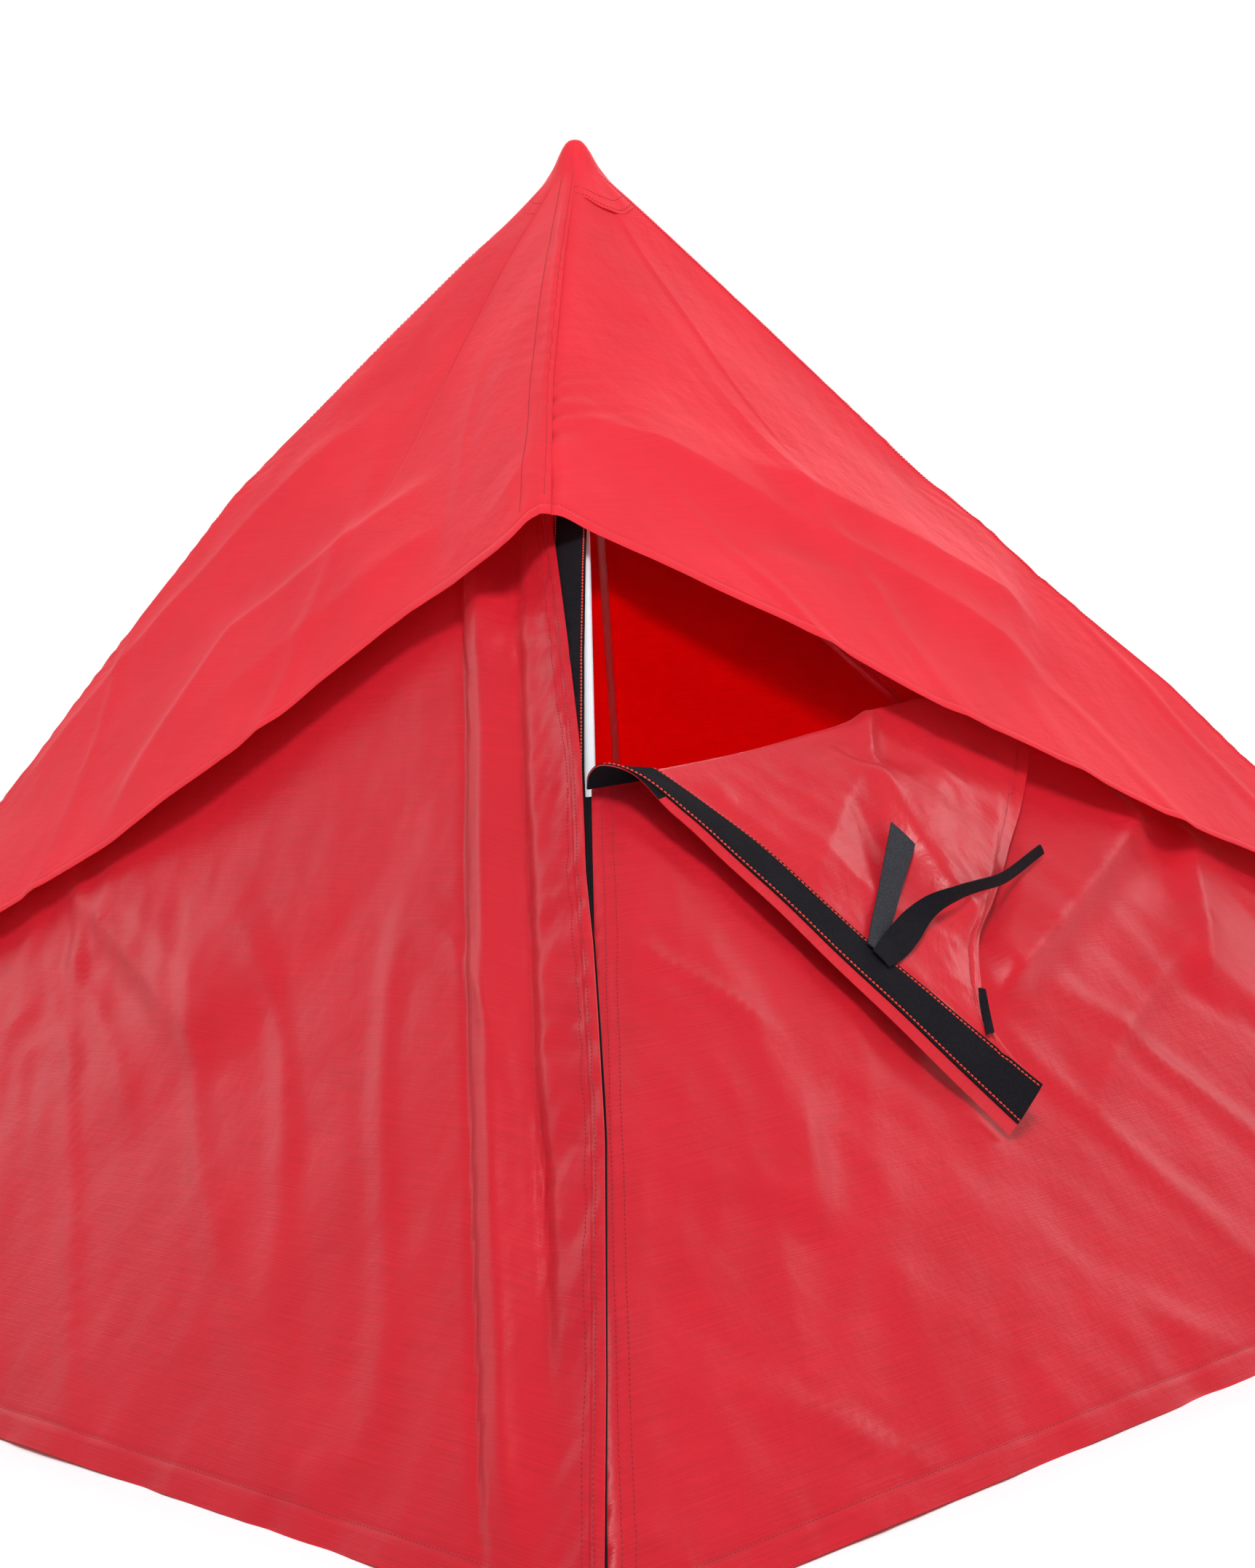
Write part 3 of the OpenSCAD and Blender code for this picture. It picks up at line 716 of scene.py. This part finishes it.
def wall_piece(name, az, side, rows, body, node, mats=None, stitch=(6.0,), hem=False, trim=None):
    w = walls[az]
    cols = slice(0, w["mid"] + 1) if side < 0 else slice(w["mid"], None)
    d = {k: w[k][rows, cols] for k in ("G", "N", "P", "Q", "uv")}
    if trim is not None:
        d = trim(d)
    b = Builder()
    b.shell(d["G"], 0.9, d["uv"], N=d["N"])
    front = az in (225, 315)
    for off in stitch:
        L, NN = line_at(d, off, 0, d["G"].shape[0], side)
        if len(L) > 3:
            b.stitches(L, NN, pitch=3.8 if front else 5.4, length=2.8 if front else 4.0, width=0.8, height=0.4)
    if hem:
        b.stitches(d["G"][6], d["N"][6], pitch=3.8 if front else 5.4, length=2.8 if front else 4.0, width=0.8, height=0.4)
    ob = b.done(name, [WALL, THREAD_DARK])
    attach(ob, body)
    squash_to(ob, az)
    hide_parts(node)
    return ob


def trim_window(d):
    """Above the window the wall is cut back to a slanting edge under the canopy."""
    P, Q = d["P"], d["Q"]
    # keep the shares between the cut line and the middle: slide each row's outer points in to the line
    line = np.interp(Q, [640, 1003, 1400], [-0.5, -(half(1003) - 4), -2000])
    W = P[:, :1]
    lim = np.maximum(line, W)
    lam = P / np.minimum(W, -1e-6)
    newP = lam * lim
    az = 315
    n, h, g, m = axes(az)
    shift = (newP - P)
    G = d["G"] + shift[..., None] * h
    d = dict(d); d["G"] = G; d["P"] = newP; d["uv"] = np.stack([newP, Q], -1) / 1000
    d["N"] = grid_normals(G, n)
    return d


for az, (neg, pos) in FACES.items():
    w = walls[az]
    low, high = slice(0, w["split"] + 1), slice(w["split"], None)
    for side, corner in ((-1, neg), (1, pos)):
        node_u, node_l = f"wall_{corner}_upper", f"wall_{corner}_lower"
        if corner == "front" and az == 225:
            node_u, node_l = "wall_front_left_upper", "wall_front_left_lower"
        if corner == "front" and az == 315:
            node_u, node_l = "wall_front_right_upper", "door_panel"
        tag = f"{corner}_{az}"
        lname = "door_panel_cloth" if node_l == "door_panel" else f"wall_lower_{tag}"
        wall_piece(lname, az, side, low, f"leg_{corner}", node_l, hem=True, stitch=(6.0,) if corner != "front" else (9.0, 20.0))
        if node_u == "wall_front_right_upper":
            hi = slice(w["split"] + 2, None)
            wall_piece(f"wall_upper_{tag}", az, side, hi, f"rib_{corner}", node_u, trim=trim_window, stitch=(6.0,))
        else:
            wall_piece(f"wall_upper_{tag}", az, side, high, f"rib_{corner}", node_u, stitch=(6.0,) if corner != "front" else (9.0, 20.0))


# ------------------------------------------------------------------ hook-and-loop tape on the left edge of the door
def resample(L, n):
    L = np.asarray(L, float)
    c = np.concatenate([[0], np.cumsum(np.linalg.norm(np.diff(L, axis=0), axis=1))])
    t = np.linspace(0, c[-1], n)
    # smooth through the points
    return np.stack([smooth_interp(t, c, L[:, k]) for k in range(L.shape[1])], -1)


TAPE_F = lambda e: np.stack([0 * e, e * 0.5, e, e * 1.25] + [e * 1.25 + (1 - 2.5 * e) * k for k in (0.25, 0.5, 0.75)] + [1 - e * 1.25, 1 - e, 1 - e * 0.5, 0 * e + 1], 1)


def tape_grid(b, G0, F, N, thick=1.2):
    """A strip of hook-and-loop tape on the grid G0 (rows, 11 columns): a piled middle between two flat selvedges with a row of stitching in each."""
    run = np.concatenate([[0], np.cumsum(np.linalg.norm(np.diff(G0[:, 5], axis=0), axis=1))])
    width = np.linalg.norm(G0[:, -1] - G0[:, 0], axis=1)
    prof = np.array([0, 0.05, 0.1, 0.9, 1.05, 1.1, 1.05, 0.9, 0.1, 0.05, 0]) * 0.9
    G = G0 + N * prof[None, :, None]
    uv = np.stack([F * width[:, None], np.broadcast_to(run[:, None], F.shape)], -1) / 1000
    NN = grid_normals(G, N)
    b.shell(G[:, :4], thick, uv[:, :4], N=NN[:, :4], mat=1)
    b.shell(G[:, 3:8], thick + 0.5, uv[:, 3:8], N=NN[:, 3:8], mat=0)
    b.shell(G[:, 7:], thick, uv[:, 7:], N=NN[:, 7:], mat=1)
    for i, j in ((1, 2), (9, 8)):
        b.stitches((G[:, i] + G[:, j]) / 2 + N[:, i] * 0.25, N[:, i], pitch=4.0, length=3.0, width=1.3, height=0.7, mat=2)


def tape_strip(b, A, B, n, out, thick=1.3, edge=3.2):
    """Hook-and-loop tape between its two edge lines."""
    A, B = resample(A, n), resample(B, n)
    width = np.linalg.norm(B - A, axis=1)
    F = TAPE_F(np.clip(edge / np.maximum(width, 1), 0.02, 0.3))
    G0 = A[:, None] + (B - A)[:, None] * F[..., None]
    N = unit(np.cross(unit(B - A), unit(np.gradient((A + B) / 2, axis=0))))
    N = N * (np.sign((N * out).sum(-1))[:, None] if np.ndim(out) > 1 else (1 if (N * out).sum() > 0 else -1))
    tape_grid(b, G0, F, np.broadcast_to(N[:, None], G0.shape).copy(), thick)


def on_wall(az, sign, q, inset, depth):
    """A point on the inner side of a wall, inset from the pyramid's corner line, depth under the wall's outer face."""
    q = np.asarray(q, float)
    W = wall_halfwidth(az, sign, q)
    p = half(q) - inset
    pc_ = np.clip(p, None, W - 0.5)
    o = wall_offset(az, sign * pc_, q, W)
    o = wall_offset(az, sign * pc_, q, W + o * SI) - depth
    return put(az, sign * (p + o * SI), q, o)


def wall_tape(name, az, sign, qs, ins, depth, face_out, body, node):
    """Tape on the inner side of a wall's door edge; ins is the inset of its outer edge from the corner line."""
    F = TAPE_F(np.full(len(qs), 3.4 / 42))
    G0 = np.stack([on_wall(az, sign, qs, ins + 42 * F[:, k], depth) for k in range(F.shape[1])], 1)
    n = axes(az)[0] * (1 if face_out else -1)
    N = grid_normals(G0, n)
    b = Builder()
    tape_grid(b, G0, F, N, thick=1.0)
    ob = b.done(name, [PILE, SELV, THREAD_RED])
    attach(ob, body)
    squash_to(ob, az)
    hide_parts(node)
    return ob


def left_ins(q):
    return np.interp(q, [30, 150, 312, 345, 400, 459, 521, 587, 616, 645, 688, 733, 780, 829, 875, 1000],
                     [-1, -6, -11, -10, -7, -3.5, 2.5, 4.0, 4.4, 3.8, 2.8, 1.8, -0.1, -2.1, -4.1, -5])


for nm, qa, qb, bd, nd in (("door_tape_top", SPLIT, 1000, "rib_front", "door_tape_left_upper"), ("door_tape_bottom", 30, SPLIT, "leg_front", "door_tape_left_lower")):
    qs = np.linspace(qa, qb, int((qb - qa) / 6))
    wall_tape(nm, 225, 1, qs, left_ins(qs), 3.3, True, bd, nd)
qs = np.linspace(30, 594, 94)
wall_tape("door_tape_inner", 315, -1, qs, np.interp(qs, [30, 250, 400, 500, 594], [3, 1.0, -1.5, -4.5, -6.5]), 2.0, False, "leg_front", "door_tape_right")
n315 = axes(315)[0]

# ------------------------------------------------------------------ the window flap
LOW = [(0, -638, 486), (2, -648, 497), (10, -655, 504), (32, -645, 499), (78, -633, 461), (113, -622, 426), (150, -621, 389), (193, -624, 343), (237, -622, 298), (281, -618, 251), (326, -611, 204)]
UPP = [(26, -612, 488), (28, -616, 498), (34, -622, 504), (54, -610, 498), (94, -596, 466), (139, -588, 429), (177, -590, 391), (214, -592, 354), (258, -591, 314), (303, -590, 272), (349, -590, 230)]
CREST = [(54, -610, 498), (94, -557, 503), (138, -502, 510), (185, -442, 520), (222, -394, 528), (240, -365, 536), (273, -326, 543), (309, -285, 547), (357, -256, 528), (404, -246, 495)]
FREE = [(404, -246, 495), (397, -275, 475), (388, -307, 455), (364, -374, 414), (336, -449, 368), (316, -498, 342), (311, -537, 310), (308, -568, 283), (324, -586, 254), (349, -590, 230)]
nb, na = 90, 84
UP9 = resample(UPP[3:], nb)                                # the tape's inner edge, from the crest to the tip
FR9 = resample(FREE, nb)
CR = resample(CREST, na)
A_, B_ = np.meshgrid(np.linspace(0, 1, na), np.linspace(0, 1, nb))
PT = UP9[:, None] * (1 - A_[..., None]) + FR9[:, None] * A_[..., None]
PT = PT + ((1 - B_) ** 1.25)[..., None] * (CR[None] - (CR[0] * (1 - A_[..., None]) + CR[-1] * A_[..., None]))
fp, fq, fo = pqo(315, PT)
bulge = np.sin(np.pi * A_) * np.sin(np.pi * np.clip(B_, 0, 1))
dO = 7.0 * bulge
mask = sstep(0, 0.05, A_) * sstep(1, 0.94, A_) * sstep(1.0, 0.9, B_) * sstep(-0.02, 0.10, B_)
dO = dO + crease(fp, fq, [(-94, 668), (-94, 647), (-113, 623), (-130, 601), (-140, 590)], 11.0, 7, 9, 0.12) * sstep(-0.02, 0.02, B_)
dO = dO + crease(fp, fq, [(-132, 603), (-185, 563), (-264, 505), (-300, 478)], 10.0, 16, 40, 0.16) * mask
dO = dO + crease(fp, fq, [(-133, 603), (-140, 540), (-142, 456), (-125, 405)], 12.0, 40, 13, 0.14) * mask
dO = dO + crease(fp, fq, [(-146, 500), (-128, 425), (-122, 404)], 4.0, 14, 14, 0.2) * mask
dO = dO + crease(fp, fq, [(-17, 605), (-95, 538), (-163, 490)], 4.0, 26, 22, 0.25) * mask
dO = dO + crease(fp, fq, [(60, 600), (0, 530), (-60, 470), (-110, 425)], 3.0, 20, 18, 0.25) * mask
dO = dO - 11.0 * np.exp(-(((fp + 178) / 38) ** 2 + ((fq - 500) / 52) ** 2)) * mask
dO = dO + 1.4 * fbm(fp / 60, fq / 80, 501, 3) * mask + 1.6 * (ridged(fp / 55 + fq / 90, fq / 160, 503) - 0.5) * mask
# the free edge is a narrow stitched hem that curls a little
hemw = 9.0
dist_free = np.linalg.norm(PT - FR9[:, None], axis=-1)
dO = dO + 0.9 * sstep(hemw + 1.5, hemw - 1.5, dist_free) - 1.0 * np.exp(-((dist_free - hemw - 1.5) / 1.4) ** 2)
dO = dO + 1.6 * np.sin(B_ * 31 + 0.6) * np.exp(-dist_free / 18) * mask.clip(0.3)
PT = PT + n315 * dO[..., None]
# the turn over the fold: from the panel's top edge up and over to the crest
nt_ = 12
cp, cq, co_ = pqo(315, PT[0])
ep = np.clip(cp, -448, 112)
eq = fold_q(ep) - 1.5
E = put(315, ep, eq, 0.6 + 0 * eq)
t = np.linspace(0, 1, nt_)[:-1]
top_o = np.clip(co_ * 0.35, 1, 6)
mid_pt = put(315, (ep + cp) / 2, np.maximum(cq - 1.0, eq + 4), top_o)
BEZ = (1 - t)[:, None, None] ** 2 * E[None] + 2 * ((1 - t) * t)[:, None, None] * mid_pt[None] + (t ** 2)[:, None, None] * PT[0][None]
SH = np.concatenate([BEZ, PT])
# the cloth that the tape is sewn to, from the tape's inner edge to its outer one
full = SH.shape[0]
lo9, up9 = resample(LOW, full), SH[:, 0]
UA = resample(UPP, full)
k = sstep(0.06, 0.2, np.linspace(0, 1, full))[:, None]
upb = up9
tw = np.array([1.235, 1.19, 1.13, 1.07, 1.02, 0.98, 0.93, 0.85, 0.7, 0.55, 0.4, 0.25, 0.12])
dip = np.array([4.5, 3.6, 2.2, 1.0, 0.3, 0, 0, 0, 0, 0, 0, 0, 0])
show = sstep(0.10, 0.22, np.linspace(0, 1, full))                 # the margin starts below the turn
tw2 = 1 + (tw[None] - 1) * np.where(tw[None] > 1, 0.12 + 0.88 * show[:, None], 1)
STR = upb[:, None] + (lo9 - upb)[:, None] * tw2[..., None] - n315 * (dip[None] * show[:, None])[..., None]
ALL = np.concatenate([STR, SH], axis=1)
NF = grid_normals(ALL, n315)
run_v = np.concatenate([[0], np.cumsum(np.linalg.norm(np.diff(ALL[:, 30], axis=0), axis=1))])
uvf = np.stack([pqo(315, ALL)[0], np.broadcast_to(-run_v[:, None], ALL.shape[:2])], -1) / 1000
b = Builder()
b.shell(ALL, 0.9, uvf, N=NF)
cells = (ALL.shape[0] - 1) * (ALL.shape[1] - 1)
rr_, cc_ = np.divmod(np.arange(cells), ALL.shape[1] - 1)
dark = (rr_ < nt_ + 7) & (cc_ < 13)                           # the tape wraps the edge where the cloth turns over
b.m[-1][:cells][dark] = 2
b.m[-1][cells:2 * cells][dark] = 2
b.m[-1][2 * cells:2 * cells + 12] = 2
Lf = []; Nf = []
dist_all = np.linalg.norm(ALL - ALL[:, -1:], axis=-1)
for r in range(nt_ + 1, full - 3):
    kk = np.searchsorted(dist_all[r][::-1], hemw + 1.2)
    if kk < 2 or kk >= ALL.shape[1] - 20:
        continue
    Lf.append(ALL[r][::-1][kk]); Nf.append(NF[r][::-1][kk])
if len(Lf) > 4:
    Lr = resample(np.array(Lf), 60)
    b.stitches(Lr, resample(np.array(Nf), 60), pitch=3.6, length=2.7, width=0.8, height=0.45)
ob_flap = b.done("window_flap_cloth", [FLAP, THREAD_DARK, SELV])
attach(ob_flap, "flap")
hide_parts("window_flap")


def squash_flap(ob):
    n, h, g, m = axes(315)
    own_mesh(ob)


squash_flap(ob_flap)

# its tape, on the face that now looks out
b = Builder()
i0 = 0
lower = lo9
tape_n = NF[:, 8]
Lo, Up = lower[i0:], upb[i0:]
n_out = tape_n[i0:]
tape_strip(b, Lo + n_out * 0.9 + unit(Lo - Up) * 1.2, Up + n_out * 0.9, 170, resample(n_out, 170), thick=1.2, edge=4.2)
ob = b.done("window_flap_tape", [PILE, SELV, THREAD_RED])
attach(ob, "flap"); squash_flap(ob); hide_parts("flap_tape")


SP, SQ, SO = (v.ravel() for v in pqo(315, PT))


def clear_of_flap(L, gap, gain):
    """Lifts points off the flap's face; gain fades the lift along the line."""
    p, q, o = pqo(315, L)
    d2 = (p[:, None] - SP[None]) ** 2 + (q[:, None] - SQ[None]) ** 2
    near = np.argsort(d2, axis=1)[:, :6]
    top = SO[near].max(1)
    inside = np.sqrt(np.take_along_axis(d2, near[:, :1], 1)[:, 0]) < 12
    lift = np.where(inside, np.maximum(top + gap - o, 0), 0) * gain
    lift = np.max([np.roll(np.pad(lift, 6, mode="edge"), j)[6:-6] for j in range(-5, 6)], axis=0)
    lift = np.convolve(np.pad(lift, 4, mode="edge"), np.ones(9) / 9, "valid")
    return L + n315 * lift[:, None]


def strap(name, top, bottom, n, mat, node, t=1.3, crown=0.6, rows=7, gap=2.6):
    A, B = resample(top, n), resample(bottom, n)
    mid = clear_of_flap((A + B) / 2, gap, 1.0)
    a2, b2 = clear_of_flap(A, gap, 1.0), clear_of_flap(B, gap, 1.0)
    up = np.maximum(np.maximum(((mid - (A + B) / 2) @ n315), ((a2 - A) @ n315)), ((b2 - B) @ n315))
    A, B = A + n315 * up[:, None], B + n315 * up[:, None]
    L, W = (A + B) / 2, (A - B) / 2
    fwd = unit(np.gradient(L, axis=0))
    N = unit(np.cross(W, fwd))
    o = axes(315)[0] + np.array([0, -0.8, 0.1])
    s = np.sign((N * o).sum(-1)); s = np.where(s == 0, 1, s)
    if (s[1:] != s[:-1]).any():                            # twisted: keep the side it starts with
        N = N * s[0]
    else:
        N = N * s[:, None]
    b = Builder()
    b.ribbon(L, W, N, t, cols=rows, crown=crown)
    ob = b.done(name, [mat])
    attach(ob, "flap"); squash_flap(ob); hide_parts(node)
    return ob


strap("flap_strap_loop", [(213, -600, 350), (219, -575, 366), (232, -530, 398), (245, -478, 438)], [(222, -600, 340), (233, -570, 356), (248, -528, 385), (264, -480, 418)], 26, GREY, "flap_strap_grey")
strap("flap_strap_hook", [(218, -604, 346), (236, -575, 362), (253, -552, 374), (267, -541, 380), (290, -520, 381), (330, -466, 386), (392, -369, 411)],
      [(230, -606, 332), (244, -586, 336), (258, -567, 347), (275, -536, 364), (293, -508, 369), (338, -447, 377), (397, -355, 402)], 60, PILE, "flap_strap_black")
strap("flap_tie_end", [(303, -558, 304), (302, -566, 292), (303, -590, 270)], [(309, -554, 302), (309, -566, 290), (310, -586, 271)], 18, PILE, "flap_tie", t=1.0, gap=1.8)

# ------------------------------------------------------------------ crown cap: a stitched cloth patch over the peak
b = Builder()
rings, seg = 22, 96
th = np.linspace(0, 2 * np.pi, seg + 1)
rr = np.linspace(1.5, 60, rings)
Gc = []
for i, r_ in enumerate(rr):
    # square pyramid with soft corners; the hub rod lifts its middle
    c4 = np.maximum(np.abs(np.cos(th)) + np.abs(np.sin(th)), 0.01)
    x, y = r_ * np.cos(th), r_ * np.sin(th)
    d1 = (np.abs(x) + np.abs(y)) / math.sqrt(2)
    z_plane = 1120 + 15.2 / CO - d1 * HW / D0 - 0.5
    dome = 1149.0 - (r_ / 16.0) ** 2 * 8
    k_ = sstep(6, 26, np.full_like(th, r_))
    zz = np.where(r_ < 26, np.minimum(dome, z_plane + 8), z_plane) * 1.0
    zz = (1 - k_) * np.minimum(dome, 1149.5) + k_ * z_plane + 1.4 + 0.7 * np.sin(12 * th + 0.4) * sstep(20, 60, r_)
    zz = zz - 7.5 * np.exp(-(np.minimum(np.abs(x), np.abs(y)) / 9.0) ** 2) * sstep(14, 40, r_)
    Gc.append(np.stack([x, y, np.minimum(zz, 1150.0)], -1))
Gc = np.array(Gc)
uvc = np.stack([Gc[..., 0], Gc[..., 1]], -1) / 1000
Nc = grid_normals(Gc, np.array([0, 0, 1.0]))
Nc[:, 0] = Nc[:, -1] = unit(Nc[:, 1] + Nc[:, -2])
b.shell(Gc, 1.1, uvc, N=Nc, ring=True)
for i in (rings - 2, rings - 5):
    b.stitches(Gc[i], Nc[i], pitch=3.6, length=2.6, width=0.8, height=0.5)
ob = b.done("crown_cap", [FLY, THREAD_DARK])
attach(ob, "crown"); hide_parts("apex_patch")

# ------------------------------------------------------------------ webbing tabs at the corners
for corner, azd in CORNER_AZ.items():
    a = math.radians(azd)
    rad, tan, up = np.array([math.cos(a), math.sin(a), 0]), np.array([-math.sin(a), math.cos(a), 0]), np.array([0, 0, 1.0])
    b = Builder()
    # a doubled strap: it leaves the corner, goes round the eyelet and comes back
    ang = np.linspace(-np.pi / 2, np.pi / 2, 9)
    outl = [(1.0, -12.0), (14, -12.2), (26, -12.3), (36, -12.4)] + [(45 + 12.4 * math.cos(x), 12.4 * math.sin(x)) for x in ang] + [(36, 12.4), (26, 12.3), (14, 12.2), (1.0, 12.0)]
    outl = np.array(outl)
    c0 = np.array([43.0, 0.0])
    # rings from the outline in to the eyelet's hole, so that the strap is one continuous sheet round it
    m_ = 64
    dd = np.concatenate([[0], np.cumsum(np.linalg.norm(np.diff(np.concatenate([outl, outl[:1]]), axis=0), axis=1))])
    tt = np.linspace(0, dd[-1], m_ + 1)
    per = np.stack([np.interp(tt, dd, np.concatenate([outl, outl[:1]])[:, k]) for k in range(2)], -1)
    dirs = per - c0
    th0 = np.arctan2(dirs[:, 1], dirs[:, 0])
    hole = c0 + 6.7 * np.stack([np.cos(th0), np.sin(th0)], -1)
    fr = np.array([0, 0.06, 0.14, 0.3, 0.5, 0.7, 0.86, 1.0])
    xy = per[None] * (1 - fr)[:, None, None] + hole[None] * fr[:, None, None]
    zz = 2.0 + 0.0 * xy[..., 0] - 0.5 * (fr[:, None] == 0)
    Gt = rad * (RB + xy[..., 0:1]) + tan * xy[..., 1:2] + up * zz[..., None]
    Nt = np.broadcast_to(up, Gt.shape).copy()
    b.shell(Gt, 1.9, xy / 1000, N=Nt, ring=True)
    for yy in (-9.6, 9.6):
        L = np.array([rad * (RB + x) + tan * yy + up * 2.05 for x in np.linspace(4, 40, 20)])
        b.stitches(L, np.broadcast_to(up, L.shape).copy(), pitch=3.2, length=2.4, width=0.8, height=0.4)
    for xa, ya, xb, yb in ((6, -9, 24, 9), (6, 9, 24, -9), (6, -9, 6, 9), (24, -9, 24, 9)):
        L = np.array([rad * (RB + xa + (xb - xa) * k) + tan * (ya + (yb - ya) * k) + up * 2.1 for k in np.linspace(0, 1, 12)])
        b.stitches(L, np.broadcast_to(up, L.shape).copy(), pitch=3.2, length=2.4, width=0.8, height=0.4)
    ob = b.done(f"corner_strap_{corner}", [WEB, THREAD_RED])
    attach(ob, f"leg_{corner}"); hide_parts(f"corner_tab_{corner}")

# ------------------------------------------------------------------ finishes on the CAD parts
for name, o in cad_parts.items():
    if o.hide_render:
        continue
    m = STEEL if name.startswith(("upper_rib", "lower_rib")) else ZINC if name.startswith(("hub_pins", "eyelet")) else PLASTIC
    for s in o.material_slots:
        s.material = m
    if not o.material_slots:
        o.data.materials.append(m)

# ------------------------------------------------------------------ floor, light, camera
bpy.ops.mesh.primitive_plane_add(size=60, location=(0, 0, 0))
floor = bpy.context.active_object
floor.name = "floor"
fm, nt, nodes, links = new_mat("pale_floor")
out = nodes.new("ShaderNodeOutputMaterial"); bs = nodes.new("ShaderNodeBsdfPrincipled")
bs.inputs["Base Color"].default_value = (0.86, 0.86, 0.87, 1); bs.inputs["Roughness"].default_value = 0.85
links.new(bs.outputs[0], out.inputs[0])
floor.data.materials.append(fm)

bpy.ops.mesh.primitive_plane_add(size=1, location=(0, 8.5, 5.5), rotation=(math.radians(90), 0, 0))
paper = bpy.context.active_object
paper.name = "backdrop"; paper.scale = (34, 11.4, 1)
pm, nt, nodes, links = new_mat("backdrop_white")
out = nodes.new("ShaderNodeOutputMaterial"); em = nodes.new("ShaderNodeEmission")
em.inputs["Color"].default_value = (1, 1, 1, 1); em.inputs["Strength"].default_value = 1.02
links.new(em.outputs[0], out.inputs[0])
paper.data.materials.append(pm)

world = bpy.data.worlds.new("studio")
bpy.context.scene.world = world
world.use_nodes = True
bg = world.node_tree.nodes.get("Background") or world.node_tree.nodes.new("ShaderNodeBackground")
bg.inputs["Color"].default_value = (1.0, 1.0, 1.0, 1)
bg.inputs["Strength"].default_value = 0.54


def area(name, loc, target, size, power, size_y=None):
    l = bpy.data.lights.new(name, "AREA")
    l.shape = "RECTANGLE"; l.size = size; l.size_y = size_y or size; l.energy = power
    o = bpy.data.objects.new(name, l)
    bpy.context.scene.collection.objects.link(o)
    o.location = loc
    o.rotation_mode = "QUATERNION"
    o.rotation_quaternion = (Vector(target) - Vector(loc)).to_track_quat("-Z", "Y")
    return o


area("key", (0.5, -3.3, 4.1), (0, 0, 0.5), 1.2, 165)
area("sheen_left", (-3.7, 1.9, 2.1), (0, 0, 0.4), 1.3, 9)
area("sheen_right", (3.7, 1.9, 2.1), (0, 0, 0.4), 1.3, 14)
area("back_top", (0.0, 3.4, 2.9), (0, 0, 0.5), 2.6, 420)

cam_d = bpy.data.cameras.new("camera")
cam = bpy.data.objects.new("camera", cam_d)
bpy.context.scene.collection.objects.link(cam)
bpy.context.scene.camera = cam
cam_d.sensor_fit = "AUTO"; cam_d.sensor_width = 36.0; cam_d.lens = 54.80
cam_d.dof.use_dof = False
cam_d.clip_start, cam_d.clip_end = 0.02, 100
yaw, pit, roll = -0.014247, -0.017973, -0.050211
fw = np.array([math.sin(yaw) * math.cos(pit), math.cos(yaw) * math.cos(pit), math.sin(pit)])
rt = np.array([math.cos(yaw), -math.sin(yaw), 0.0]); upv = np.cross(rt, fw)
cr, sr = math.cos(roll), math.sin(roll)
r2, u2 = cr * rt + sr * upv, cr * upv - sr * rt
M = Matrix(((r2[0], u2[0], -fw[0], 0.05727), (r2[1], u2[1], -fw[1], -2.5), (r2[2], u2[2], -fw[2], 0.52177), (0, 0, 0, 1)))
cam.matrix_world = M

sc = bpy.context.scene
sc.view_settings.view_transform = "Standard"
sc.view_settings.look = "None"
sc.view_settings.exposure = 0.0
sc.view_settings.gamma = 1.0
try:
    sc.cycles.diffuse_bounces = 9
    sc.cycles.max_bounces = 12
except Exception:
    pass
